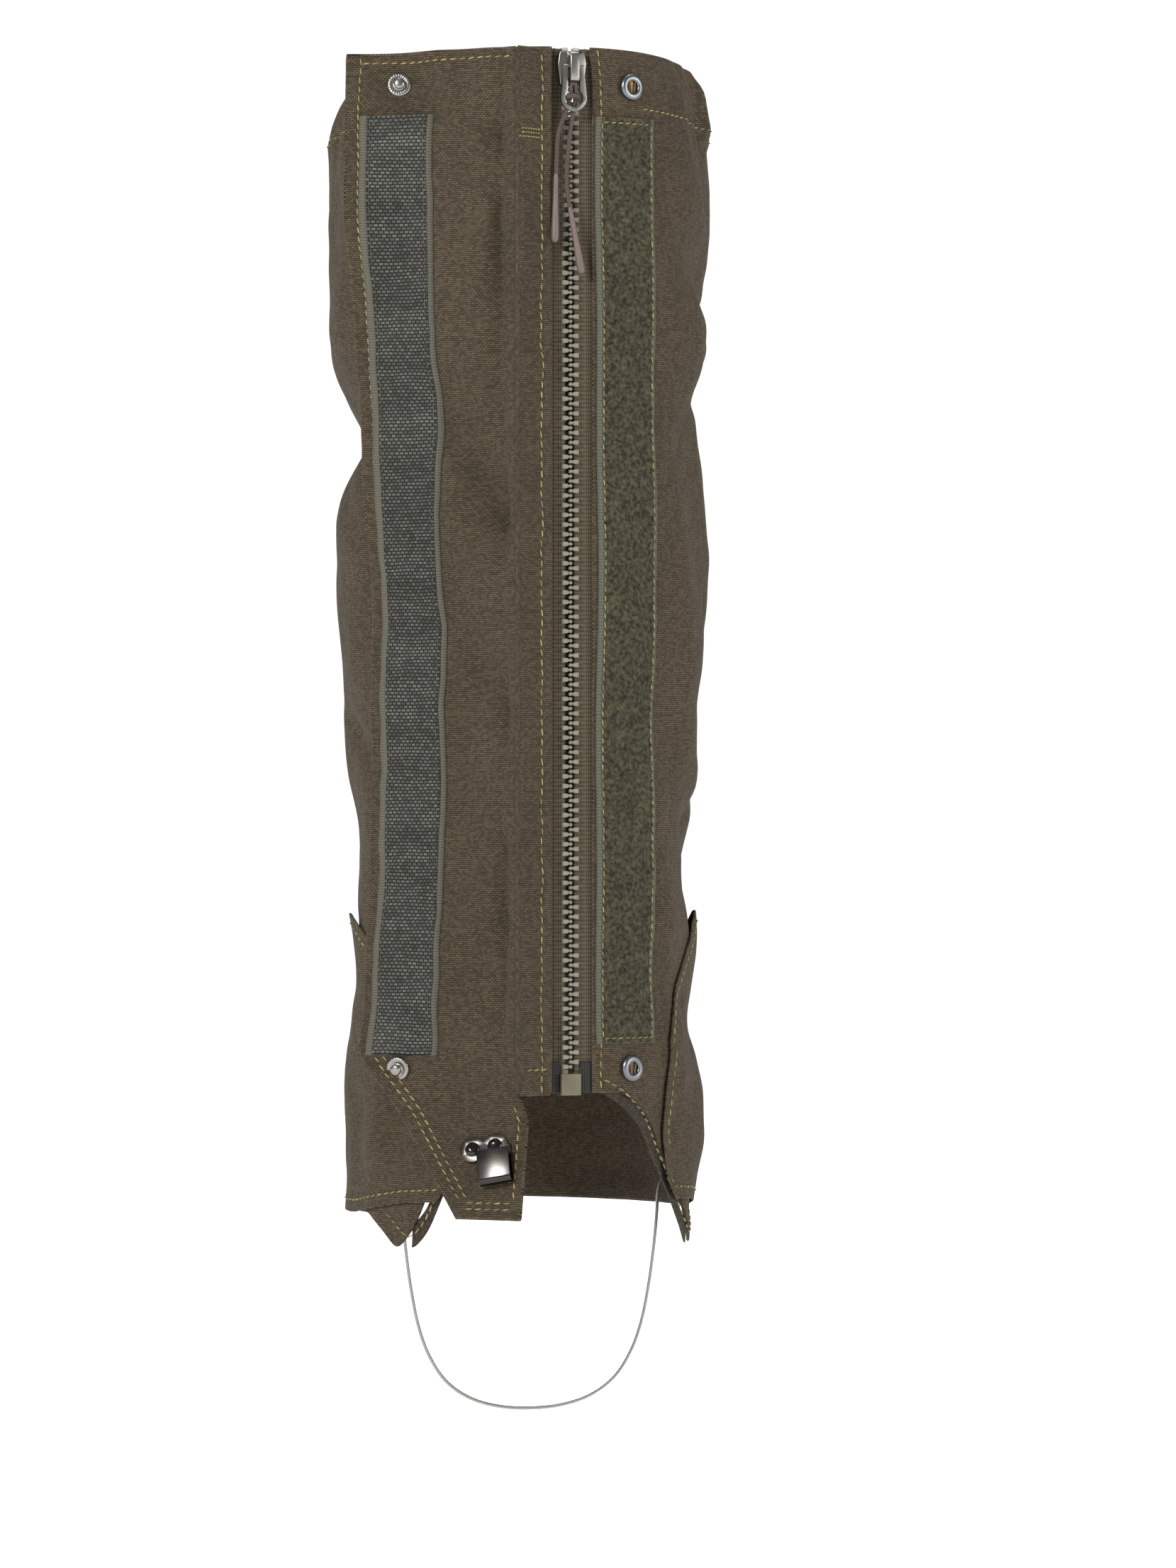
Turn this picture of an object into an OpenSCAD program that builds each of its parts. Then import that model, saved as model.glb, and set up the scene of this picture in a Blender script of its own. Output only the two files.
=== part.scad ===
// Hiking gaiter as it is worn on a boot. A tall cloth sleeve closes at the front with a moulded zip,
// a storm flap swings over the zip, a lace hook sits on the flap's tip, and a steel wire runs under the
// boot's arch. Millimetres, +Z up. The zip is on the -Y side, and the origin is on the leg's axis at the
// height of the hem. The storm flap is drawn open, so that it shows its inner face.

/* [Sleeve] */
// Height of the rim above the hem, at the zip
rim_height = 459; // [450:1:470]
// How much lower the rim is at the back than at the zip
rim_drop = 16; // [0:1:24]
// How far the elastic in the casing pulls the rim in at the sides
rim_pinch = 10; // [0:1:12]
// Width of the casing that runs round the rim
casing_width = 22; // [18:1:26]
// Distance from the leg's axis to the line that the zip runs on
front_depth = 72; // [70:1:74]
// Thickness of one layer of body cloth
cloth_thickness = 0.8; // [0.6:0.1:0.9]
// How far the front corners hang below the hem
corner_drop = 14; // [8:1:18]

/* [Ankle guard] */
// Height of the guard's two ears above the hem
ear_height = 116; // [108:1:124]
// Height of the guard's top edge at the back
guard_back_height = 106; // [96:1:112]

/* [Zip] */
// Height of the zip's lower end above the hem
zip_foot = 49; // [47:1:52]
// Distance between neighbouring teeth on one side
tooth_pitch = 3.8; // [3.6:0.1:4.2]
// Width of the meshed teeth
chain_width = 6.6; // [6.2:0.2:6.8]
// Thickness of a tooth from front to back
tooth_thickness = 4.6; // [4.2:0.2:4.6]
// Distance from the middle of the zip to a tape's outer edge
tape_reach = 12.4; // [11:0.2:12.6]
// Thickness of a tape
tape_thickness = 0.7; // [0.5:0.1:0.7]
// Distance from the middle of the zip to the edge of the body cloth
cloth_edge = 9; // [8:0.5:10]

/* [Slider and pull] */
// Width of the slider at its wide end
slider_width = 11.6; // [10.8:0.2:12.4]
// Length of the slider
slider_length = 13; // [12.6:0.2:13.4]
// Width of the slider's bridge
bridge_width = 3.6; // [3:0.2:4]
// Outer radius of the ring at the pull tab's end
tab_ring_radius = 5.2; // [4.8:0.1:5.6]
// Distance from the tab's pivot to the middle of its ring
tab_ring_drop = 12.3; // [11.5:0.1:13]
// Diameter of the pull cord
pull_cord_d = 1.8; // [1.6:0.1:2]

/* [Storm flap] */
// Width of the flap from its crease to its free edge
flap_width = 68; // [64:1:70]
// Direction in which the open flap leaves its crease, from +X towards +Y
flap_direction = 143; // [138:1:146]
// Radius of the flap's gentle curve in plan
flap_curve = 220; // [200:10:300]
// How far the flap's tip kicks forward at its lower edge
tip_kick = 16; // [8:1:18]
// Thickness of each of the flap's two layers
flap_layer = 0.85; // [0.6:0.05:0.9]
// Width of the hook tape and of the loop tape
grip_tape_width = 28; // [25:1:30]

/* [Snaps and lace hook] */
// Diameter of a snap stud's fluted ring
stud_d = 9.2; // [8.6:0.2:10]
// Diameter of a snap socket
socket_d = 10.6; // [10:0.2:11]
// Width of the lace hook's leaf
leaf_width = 13; // [12:0.5:14]
// Distance between the lace hook's rivets
rivet_spacing = 9.2; // [9:0.1:9.6]

/* [Stirrup] */
// Diameter of the stirrup wire
wire_d = 1.4; // [1.2:0.1:1.6]
// Distance of the wire's plane in front of the leg's axis
wire_plane = 12; // [10:1:14]
// Height of the wire's two eyelets above the hem
wire_eyelet_height = 14; // [14:1:14]

/* [Hidden] */
$fn = 48;

// Half width and half depth of the sleeve at heights above the hem
half_widths = [
    [-20, 69], [0, 68], [60, 66.5], [116, 65], [165, 67], [200, 71], [257, 75], [314, 71.5],
    [350, 73.5], [407, 76.4], [470, 76.4]
];
half_depths = [
    [-20, 80], [0, 79], [60, 74], [116, 69], [165, 69], [200, 72], [257, 75], [350, 75], [470, 76]
];
// Share of the rim's pinch at distances below the rim, as shares of the casing's width
pinch_shares = [[0, 1], [0.18, 0.66], [0.36, 0.4], [0.64, 0.15], [1, 0]];
// Lower edge at angles from the zip: the arch over the laces, the hanging corner, then the level hem.
// Heights above zero are shares of the zip's foot, and the rest are shares of the corner's drop.
arch_shares = [[0, 1], [12, 1], [20, 0.9], [30, 0.7], [40, 0.36]];
corner_shares = [[40, 1.25], [50, -0.45], [56, -1], [63, -0.55], [72, 0]];
// Front edge of the ankle guard at angles from the zip, and its top edge further round
guard_front = 42;
ear_angle = 78;
guard_gap = 0.35;

zip_y = -(front_depth - 2.65);
tape_front = zip_y - tape_thickness / 2;
tape_back = zip_y + tape_thickness / 2;
teeth_bottom = zip_foot + 10;
teeth_top = rim_height - 3;
teeth_count = floor((teeth_top - teeth_bottom) / tooth_pitch);
tooth_gap = 0.4;
film_height = 12;
box_half_width = 3.9;
pin_width = 2.2;
pin_depth = 3.7;

slider_top = rim_height - 1.8;
slider_bottom = slider_top - slider_length;
channel_half = chain_width / 2 + 0.5;
channel_front = zip_y - tooth_thickness / 2 - tooth_gap;
channel_back = zip_y + tooth_thickness / 2 + tooth_gap;
wing_thickness = 1.3;
pivot_y = channel_front - wing_thickness - 1.75;
pivot_z = slider_top - 6;
tab_thickness = 1.8;
tab_slot = 5;

crease_x = -24;
crease_y = -(front_depth + 7.5);
hook_tape_start = 35;
snap_reach = 50;
snap_heights = [58, rim_height - 14.5];
snap_x = 26;
loop_tape_x = 10.6;
grip_tape_bottom = 68;
grip_tape_top = rim_height - 27;
kick_height = 46;
// Reach of the flap's two side edges at heights above the hem
crease_side = [[1, -8], [38, -5], [46, -1.5], [49, 0.9]];
free_side = [[1, 19], [65, flap_width - 2], [rim_height, flap_width]];
flap_rows = [
    1, 19, 38, 42, 46, 49, 57, 65, 100, 150, 200, 250, 300, 350, 400, rim_height - 2
];
lace_hook_reach = 11.4;
lace_hook_height = 27.5;
lace_hook_turn = 11;
lobe_radius = 5.1;
plate_thickness = 0.9;
leaf_gap = 3.2;

// Distance from the leg's axis to the inner face of a stirrup tab's lower part
tab_inner = 58.6;

// Route of the stirrup wire, from one ferrule down under the arch and up to the other
wire_side = [
    [63.4, 14], [60, 14], [56.9, 12.9], [54.5, 10], [53.3, 5], [52.6, -5], [51.3, -18], [49.3, -32],
    [46.4, -46], [42, -58], [35, -68.4], [25, -75.4], [13, -79]
];
wire_route = [
    for (p = wire_side) [-p[0], -wire_plane, p[1]],
    [0, -wire_plane, -80],
    for (i = [len(wire_side) - 1:-1:0]) [wire_side[i][0], -wire_plane, wire_side[i][1]]
];
// Routes of the pull cord's two legs, from the hitch in the ring down to the tips
cord_left_route = [
    [-1.3, -73.85, 438.4], [-1.4, -73.5, 437.3], [-1.7, -73.25, 436.2], [-2.3, -73.2, 434.4],
    [-3.4, -73.25, 431.6],
    [-4.8, -73.3, 428.4], [-5.8, -73.4, 424.6], [-6.3, -73.6, 420], [-6.6, -73.9, 414.6],
    [-6.9, -74.3, 409]
];
cord_right_route = [
    [1.3, -73.85, 438.4], [1.2, -73.5, 437.3], [1, -73.25, 436.2], [0.6, -73.2, 434.2],
    [0, -73.25, 430.8],
    [-0.7, -73.3, 426.4], [-1.6, -73.4, 420], [-2.2, -73.5, 413], [-2.4, -73.7, 406],
    [-2, -74, 400.4], [-1.2, -74.3, 396]
];
left_tip_end = [-7.6, -75.2, 382];
right_tip_end = [3.4, -75.2, 370];

cloth_color = "#5a4e3b";
tape_color = "#4b4433";
tooth_color = "#6a685a";
steel_color = "#c9cbcc";
black_nickel = "#34302e";
webbing_color = "#3a3f36";

// --- Shape of the sleeve ---

function rim(t) = rim_height - rim_drop * (1 - cos(t)) / 2;
function pinch(t, z) = rim_pinch * lookup((rim(t) - z) / casing_width, pinch_shares);
function half_width(t, z) = lookup(z, half_widths) - pinch(t, z);
function half_depth(t, z) = lookup(z, half_depths) - 0.6 * pinch(t, z);

// A point on the sleeve: t degrees round from the zip, z above the hem, off outside the cloth
function on_sleeve(t, z, off) = [
    (half_width(t, z) + off) * sin(t),
    half_depth(t, z) - front_depth - (half_depth(t, z) + off) * cos(t),
    z
];

// Angle round the sleeve at which it is x to the side of the zip
function angle_at(x, z) = asin(x / lookup(z, half_widths));

// Lower edge of the body cloth
function lower_edge(t) =
    abs(t) <= 40
        ? zip_foot * lookup(abs(t), arch_shares)
        : corner_drop * lookup(abs(t), corner_shares);

// Top edge of the ankle guard
function guard_top(t) = lookup(min(abs(t), 360 - abs(t)), [
    [guard_front, 70], [50, 90], [ear_angle, ear_height], [96, guard_back_height + 4],
    [180, guard_back_height]
]);

// A closed sheet from two equal grids of points, one row of points for each step along the sheet
module sheet(inner, outer) {
    across = len(inner[0]);
    along = len(inner);
    half = across * along;
    points = [for (row = inner) each row, for (row = outer) each row];
    function at(i, j) = i * across + j;
    function quad(a, b, c, d) = [[a, b, c], [a, c, d]];
    faces = [
        for (i = [0:along - 2], j = [0:across - 2])
            each concat(
                quad(at(i, j), at(i, j + 1), at(i + 1, j + 1), at(i + 1, j)),
                quad(half + at(i, j), half + at(i + 1, j), half + at(i + 1, j + 1), half + at(i, j + 1))
            ),
        for (i = [0:along - 2], j = [0, across - 1])
            each j == 0
                ? quad(at(i, j), at(i + 1, j), half + at(i + 1, j), half + at(i, j))
                : quad(at(i + 1, j), at(i, j), half + at(i, j), half + at(i + 1, j)),
        for (j = [0:across - 2], i = [0, along - 1])
            each i == 0
                ? quad(at(i, j + 1), at(i, j), half + at(i, j), half + at(i, j + 1))
                : quad(at(i, j), at(i, j + 1), half + at(i, j + 1), half + at(i, j))
    ];
    polyhedron(points = points, faces = faces, convexity = 10);
}

// A strip of the sleeve: angles gives the angles round it for a row height, rows gives the heights for
// an angle, and the strip's inner and outer faces lie inner_off and outer_off outside the cloth
module sleeve_strip(angles, rows, inner_off, outer_off) {
    sheet(
        [for (t = angles) [for (z = rows(t)) on_sleeve(t, z, inner_off)]],
        [for (t = angles) [for (z = rows(t)) on_sleeve(t, z, outer_off)]]
    );
}

function steps(from, to, count) = [for (i = [0:count]) from + (to - from) * i / count];

// --- Body cloth ---

function panel_rows(t) = concat(
    [for (share = [0, 0.35, 0.7]) lower_edge(t) + (62 - lower_edge(t)) * share],
    [62, 90, 116, 140, 165, 200, 228, 257, 285, 314, 350, 380],
    [for (share = [1.4, 1, 0.64, 0.36, 0.18, 0]) rim(t) - casing_width * share]
);

// Half of the sleeve. The front edge stays a fixed distance from the zip at every height.
module half_sleeve(side) {
    turns = steps(0, 1, 30);
    function turn_angle(u, z) = let(edge = angle_at(cloth_edge, z)) side * (edge + (180 - edge) * u);
    function face(off) = [
        for (u = turns)
            [for (z = panel_rows(180 * u)) on_sleeve(turn_angle(u, z), z, off)]
    ];
    if (side > 0) sheet(face(-cloth_thickness), face(0));
    else sheet(face(0), face(-cloth_thickness));
}

module flap_side_panel() {
    color(cloth_color) half_sleeve(-1);
}

module loop_side_panel() {
    color(cloth_color) half_sleeve(1);
}

// Inner layer of the hem round the rim. Its upper edge leans out to meet the body cloth.
module top_casing() {
    inside = -cloth_thickness - 1.5;
    function rows(t) = [for (share = [1, 0.64, 0.36, 0.18, 0.05, 0]) rim(t) - casing_width * share];
    function outer_off(z, t) = rim(t) - z < 0.5 ? -cloth_thickness : inside + cloth_thickness;
    color(cloth_color)
    sheet(
        [for (t = steps(14, 346, 48)) [for (z = rows(t)) on_sleeve(t, z, inside)]],
        [for (t = steps(14, 346, 48)) [for (z = rows(t)) on_sleeve(t, z, outer_off(z, t))]]
    );
}

// Elastic band in the channel between the body cloth and the casing
module top_elastic() {
    color("#2b2a27")
    sleeve_strip(
        steps(42, 318, 40),
        function (t) [for (share = [0.92, 0.64, 0.36, 0.2]) rim(t) - casing_width * share],
        -cloth_thickness - 0.55, -cloth_thickness - 0.2
    );
}

// Second layer of cloth round the sides and the heel, with an ear at each top corner
module ankle_guard() {
    color("#50452f")
    sleeve_strip(
        concat(
            [guard_front, 46, 50, 56, 63, 70, ear_angle], steps(83, 277, 38),
            [360 - ear_angle, 290, 297, 304, 310, 314, 360 - guard_front]
        ),
        function (t)
            let (low = lower_edge(t > 180 ? 360 - t : t), high = guard_top(t))
            [for (share = [0, 0.3, 0.6, 0.85, 1]) low + (high - low) * share],
        guard_gap, guard_gap + cloth_thickness
    );
}

// Facing sewn inside the arch over the laces, on one side
module instep_facing(side) {
    facing_width = 9.5;
    angles = steps(13, 56, 12);
    color(cloth_color)
    sleeve_strip(
        side > 0 ? angles : [for (t = angles) 360 - t],
        function (t)
            let (low = lower_edge(t > 180 ? 360 - t : t)) [low, low + facing_width / 2, low + facing_width],
        side > 0 ? -2 * cloth_thickness - 0.1 : -cloth_thickness - 0.1,
        side > 0 ? -cloth_thickness - 0.1 : -2 * cloth_thickness - 0.1
    );
}

module instep_facing_left() {
    instep_facing(-1);
}

module instep_facing_right() {
    instep_facing(1);
}

// Folded strip that rises from the zip seam to the flap's crease
module flap_root() {
    sole = -front_depth - 0.2;
    color(cloth_color)
    translate([0, 0, zip_foot])
    linear_extrude(rim_height - 1.5 - zip_foot)
    polygon([
        [-cloth_edge, sole], [-13, sole + 0.1], [crease_x + 0.9, crease_y + 3],
        [crease_x + 1.6, crease_y + 1.5], [-14, sole - 1.7], [-cloth_edge, sole - 0.9]
    ]);
}

// --- Zip ---

// Tape from the teeth's roots to its outer edge
module zip_tape(side) {
    root_x = chain_width / 2;
    color(tape_color)
    translate([side < 0 ? -tape_reach : root_x, tape_front, zip_foot])
    cube([tape_reach - root_x, tape_thickness, rim_height - zip_foot]);
}

module zip_tape_left() {
    zip_tape(-1);
}

module zip_tape_right() {
    zip_tape(1);
}

// One moulded tooth seen from the front: a square root against the tape, a neck, and a round head in
// the middle of the zip
module tooth_outline() {
    root_x = chain_width / 2;
    root_half = 0.25 * tooth_pitch;
    root_length = 1.8;
    neck_half = 0.4;
    polygon([
        [root_x, root_half], [root_x - root_length, root_half], [root_x - root_length - 0.8, neck_half],
        [0, neck_half], [0, -neck_half], [root_x - root_length - 0.8, -neck_half],
        [root_x - root_length, -root_half], [root_x, -root_half]
    ]);
    translate([0.2, 0]) circle(r = 0.62, $fn = 8);
}

// A column of teeth. The right column sits half a pitch higher, so that the two columns mesh.
module zip_teeth(side) {
    start = side < 0 ? teeth_bottom : teeth_bottom + tooth_pitch / 2;
    color(tooth_color)
    for (i = [0:teeth_count - 1])
        translate([0, zip_y + tooth_thickness / 2, start + i * tooth_pitch])
        rotate([90, 0, 0])
        linear_extrude(tooth_thickness)
        mirror([side < 0 ? 1 : 0, 0])
        tooth_outline();
}

module zip_teeth_left() {
    zip_teeth(-1);
}

module zip_teeth_right() {
    zip_teeth(1);
}

// Stops on the two tapes above the last teeth
module zip_top_stops() {
    stop_size = [2.2, 3.9, 1.4];
    color("#b9b7ad")
    for (side = [-1, 1])
        translate([side * (chain_width - stop_size[0]) / 2, zip_y, rim_height - stop_size[2] / 2])
        cube(stop_size, center = true);
}

// Stiff woven film on the front of the tapes at their lower end
module zip_end_film() {
    inner_edge = box_half_width + 0.3;
    outer_edge = tape_reach - 2;
    film_thickness = 0.3;
    color("#24221f")
    for (side = [-1, 1])
        translate([side < 0 ? -outer_edge : inner_edge, tape_front - film_thickness - 0.05, zip_foot])
        cube([outer_edge - inner_edge, film_thickness, film_height]);
}

// Square pin on the left tape's edge that drops into the retaining box
module zip_pin() {
    color(tooth_color)
    translate([-chain_width / 2, zip_y - pin_depth / 2, zip_foot + 4])
    cube([pin_width, pin_depth, 4.9]);
}

// Retaining box at the zip's foot, with the well that the pin drops into and slots for the tapes
module zip_box() {
    box_size = [2 * box_half_width, tooth_thickness + 1.2, 8.4];
    well_depth = 4.8;
    play = 0.2;
    color("#55513f")
    difference() {
        translate([-box_half_width, zip_y - box_size[1] / 2, zip_foot - 1.2]) cube(box_size);
        translate([
            -chain_width / 2 - play,
            zip_y - pin_depth / 2 - play,
            zip_foot - 1.2 + box_size[2] - well_depth
        ])
        cube([pin_width + 2 * play, pin_depth + 2 * play, well_depth + 1]);
        for (side = [-1, 1])
            translate([side * (chain_width / 2 + 2), zip_y, zip_foot + box_size[2] / 2 - 0.02])
            cube([4.04, tape_thickness + 0.04, box_size[2]], center = true);
    }
}

// --- Loop tape and snap sockets on the body ---

module loop_tape() {
    edge_right = loop_tape_x + grip_tape_width * 0.93;
    function at_share(share, z) = angle_at(loop_tape_x + (edge_right - loop_tape_x) * share, z);
    heights = steps(grip_tape_bottom, grip_tape_top, 20);
    color("#4a4f38")
    sheet(
        [for (s = steps(0, 1, 4)) [for (z = heights) on_sleeve(at_share(s, z), z, 0.1)]],
        [for (s = steps(0, 1, 4)) [for (z = heights) on_sleeve(at_share(s, z), z, 1.6)]]
    );
}

// Puts children on the sleeve at x beside the zip, with +Z pointing out of the cloth
module on_body(x, z, off) {
    t = angle_at(x, z);
    facing = atan2(sin(t) / half_width(t, z), cos(t) / half_depth(t, z));
    translate(on_sleeve(t, z, off)) rotate([0, 0, facing]) rotate([90, 0, 0]) children();
}

// Ring-shaped socket with a round mouth
module socket() {
    r = socket_d / 2;
    rotate_extrude()
    polygon([[2.1, 0], [r - 0.6, 0], [r, 0.5], [r - 0.3, 1.6], [r - 1.4, 2.3], [3, 2.1], [2.5, 1.2], [2.1, 1]]);
}

module snap_sockets() {
    color(steel_color)
    for (z = snap_heights) on_body(snap_x, z, 0.4) socket();
}

module snap_socket_posts() {
    color(steel_color)
    for (z = snap_heights) {
        depth = z > rim_height - casing_width ? 2.8 : 1.2;
        on_body(snap_x, z, -depth)
        rotate_extrude()
        polygon([[0, -1.1], [4.6, -0.6], [4.6, 0], [1.5, 0], [1.5, depth + 1], [0, depth + 1]]);
    }
}

// --- Stirrup tabs inside the hem ---

// Webbing tab sewn inside the cloth. It leans inwards, so that a ferrule fits behind its eyelet.
module stirrup_tab() {
    tab_width = 10;
    eyelet_bore = 5.2;
    difference() {
        translate([0, -wire_plane + tab_width / 2, 0])
        rotate([90, 0, 0])
        linear_extrude(tab_width)
        polygon([
            [63.3, 48], [62.1, 48], [62, 33], [tab_inner, 24], [tab_inner, 6],
            [tab_inner + 1.2, 6], [tab_inner + 1.2, 23.8], [63.2, 32.8]
        ]);
        translate([tab_inner - 5, -wire_plane, wire_eyelet_height])
            rotate([0, 90, 0])
            cylinder(h = 10, d = eyelet_bore);
    }
}

module stirrup_tabs() {
    color(webbing_color) {
        stirrup_tab();
        mirror([1, 0, 0]) stirrup_tab();
    }
}

module stirrup_eyelet() {
    translate([tab_inner + 0.6, -wire_plane, wire_eyelet_height])
    rotate([0, 90, 0])
    rotate_extrude()
    polygon([[1.5, -1.2], [4.2, -1.2], [4.2, -0.7], [2.5, -0.7], [2.5, 0.7], [4.2, 0.7], [4.2, 1.2], [1.5, 1.2]]);
}

module stirrup_eyelets() {
    color(steel_color) {
        stirrup_eyelet();
        mirror([1, 0, 0]) stirrup_eyelet();
    }
}

// --- Storm flap ---

// The flap's own frame: X runs from the crease towards the free edge, and +Y points out of its inner face
module in_flap() {
    translate([crease_x, crease_y, 0]) rotate([0, 0, flap_direction]) children();
}

function flap_sag(s) = flap_curve - sqrt(flap_curve * flap_curve - s * s);

// Below kick_height the flap kicks forward. Its tip is flat, because the lace hook's plate stiffens it.
function flap_kick(z) = tip_kick * lookup(z, [[1, 0.92], [38, 0.075], [42, 0.022], [kick_height, 0]]);
function kick_slope(z) = tip_kick * 0.845 / 37 * lookup(z, [[38, 1], [42, 0.4], [kick_height, 0]]);

// A point of the flap in its own frame, off in front of the middle of its thickness
function flap_point(s, z, off) =
    let (out = unit([-s / flap_curve, 1, kick_slope(z)])) [s, flap_sag(s) + flap_kick(z), z] + off * out;

// Puts children on the flap at reach s and height z, with +Z pointing out of its inner face
module on_flap(s, z, off = 0) {
    in_flap()
    translate([s, flap_sag(s) + flap_kick(z), z])
    rotate([0, 0, asin(s / flap_curve)])
    rotate([atan(kick_slope(z)) - 90, 0, 0])
    translate([0, 0, off])
    children();
}

// One layer of the flap between two distances in front of the middle of its thickness
module flap_layer_between(low, high) {
    function reach(share, z) = lookup(z, crease_side) * (1 - share) + lookup(z, free_side) * share;
    in_flap()
    sheet(
        [for (share = steps(0, 1, 7)) [for (z = flap_rows) flap_point(reach(share, z), z, high)]],
        [for (share = steps(0, 1, 7)) [for (z = flap_rows) flap_point(reach(share, z), z, low)]]
    );
}

module flap_shell() {
    color(cloth_color) flap_layer_between(-flap_layer - 0.05, -0.05);
}

module flap_facing() {
    color("#665a45") flap_layer_between(0.05, flap_layer + 0.05);
}

// Long straight tape that bends with the flap's curve
module hook_tape() {
    low = flap_layer + 0.1;
    color(webbing_color)
    in_flap()
    translate([0, 0, grip_tape_bottom - 4.8])
    intersection() {
        translate([0, flap_curve, 0])
        linear_extrude(grip_tape_top - grip_tape_bottom + 4.8)
        difference() {
            circle(r = flap_curve - low, $fn = 360);
            circle(r = flap_curve - low - 1.2, $fn = 360);
        }
        translate([hook_tape_start, 0, -1]) cube([grip_tape_width * 0.99, 20, rim_height]);
    }
}

module snap_studs() {
    r = stud_d / 2;
    color(steel_color)
    for (z = snap_heights)
        on_flap(snap_reach, z, flap_layer + 0.2)
        rotate_extrude()
        polygon([
            [1.2, 0], [r, 0], [r, 0.8], [r - 1, 1.3], [2.6, 0.9], [1.9, 1.3], [1.9, 2.2], [2.2, 2.7],
            [1.9, 3.3], [1.2, 3.5]
        ]);
}

module snap_stud_caps() {
    color(black_nickel)
    for (z = snap_heights)
        on_flap(snap_reach, z, -flap_layer - 0.1)
        rotate_extrude()
        polygon([[0, -1.3], [3.6, -1], [4.8, -0.2], [4.8, 0], [1.1, 0], [1.1, 4.9], [0, 4.9]]);
}

// --- Lace hook on the flap's tip ---

module on_tip() {
    on_flap(lace_hook_reach, lace_hook_height, flap_layer + 0.4) rotate([0, 0, 180 + lace_hook_turn]) children();
}

// Plate with two riveted lobes. It runs down, bends forward, and comes back up as a square leaf.
module lace_hook() {
    leaf_x = -2;
    leaf_top = -2.4;
    bend_y = leaf_top - 11.4;
    bend_r = leaf_gap / 2 + plate_thickness;
    color(black_nickel)
    on_tip() {
        difference() {
            union() {
                for (side = [-1, 1])
                    translate([side * rivet_spacing / 2, 0, 0]) cylinder(r = lobe_radius, h = plate_thickness);
                translate([leaf_x, bend_y, 0]) cube([leaf_width, -bend_y, plate_thickness]);
            }
            for (side = [-1, 1])
                translate([side * rivet_spacing / 2, 0, -1]) cylinder(r = 1.3, h = 4);
        }
        translate([leaf_x, bend_y, leaf_gap + plate_thickness])
            cube([leaf_width, leaf_top - bend_y, plate_thickness]);
        translate([leaf_x, bend_y, bend_r])
        rotate([0, 90, 0])
        difference() {
            cylinder(r = bend_r, h = leaf_width);
            translate([0, 0, -1]) cylinder(r = leaf_gap / 2, h = leaf_width + 2);
            translate([-bend_r - 1, 0, -1]) cube([2 * bend_r + 2, bend_r + 1, leaf_width + 2]);
        }
    }
}

// Domed rivets with their washers behind the cloth
module lace_hook_rivets() {
    washer = 2 * flap_layer + 0.5;
    color(black_nickel)
    on_tip()
    for (side = [-1, 1])
        translate([side * rivet_spacing / 2, 0, 0])
        rotate_extrude()
        polygon([
            [0, -washer - 0.8], [3.4, -washer - 0.8], [3.4, -washer], [1.2, -washer], [1.2, 0.95],
            [3, 0.95], [2.7, 1.5], [1.6, 2.1], [0, 2.3]
        ]);
}

// --- Slider and pull ---

// One wing of the slider, drawn from the tape's side: a plate with a flange along each side of the teeth
module slider_wing(from_y, channel_y, to_y) {
    low = min(from_y, to_y);
    high = max(from_y, to_y);
    top_half = slider_width / 2;
    difference() {
        translate([0, high, 0])
        rotate([90, 0, 0])
        linear_extrude(high - low)
        polygon([
            [-top_half, slider_top - 4.5], [-top_half + 0.8, slider_top], [top_half - 0.8, slider_top],
            [top_half, slider_top - 4.5], [4.8, slider_bottom], [-4.8, slider_bottom]
        ]);
        translate([-channel_half, min(channel_y, to_y), slider_bottom - 1])
            cube([2 * channel_half, abs(to_y - channel_y), slider_length + 2]);
    }
}

module slider_front() {
    wing_front = channel_front - wing_thickness;
    crown = wing_front - 4.6;
    color(steel_color) {
        slider_wing(wing_front, channel_front, tape_front - 0.65);
        translate([-bridge_width / 2, 0, 0])
        rotate([90, 0, 90])
        linear_extrude(bridge_width)
        difference() {
            polygon([
                [wing_front + 0.3, slider_bottom + 1], [wing_front + 0.3, slider_top - 0.2],
                [crown + 1.6, slider_top - 0.2], [crown + 0.5, slider_top - 0.8],
                [crown, slider_top - 2], [crown, slider_bottom + 2.6],
                [crown + 0.5, slider_bottom + 1.5], [crown + 1.4, slider_bottom + 1]
            ]);
            translate([crown + 1.3, slider_bottom + 2.6]) square([3.3, slider_length - 4.6]);
        }
    }
}

module slider_back() {
    color(steel_color) slider_wing(channel_back + wing_thickness, channel_back, tape_back + 0.65);
}

// Flat teardrop tab with a keyhole: the slot lets the bridge through, and the round end takes the cord
module pull_tab() {
    inner_r = tab_ring_radius - 1.5;
    top_half = 4;
    color(steel_color)
    translate([0, pivot_y, pivot_z]) {
        translate([0, tab_thickness / 2, 0])
        rotate([90, 0, 0])
        linear_extrude(tab_thickness)
        difference() {
            union() {
                translate([0, -tab_ring_drop]) circle(r = tab_ring_radius);
                polygon([
                    [-top_half, 0], [top_half, 0], [tab_ring_radius - 0.1, -tab_ring_drop + 1],
                    [-tab_ring_radius + 0.1, -tab_ring_drop + 1]
                ]);
            }
            translate([0, -tab_ring_drop]) circle(r = inner_r);
            translate([-tab_slot / 2, -tab_ring_drop]) square([tab_slot, tab_ring_drop + 1]);
        }
        translate([-top_half, 0, 0]) rotate([0, 90, 0]) cylinder(d = tab_thickness, h = 2 * top_half);
    }
}

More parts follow.
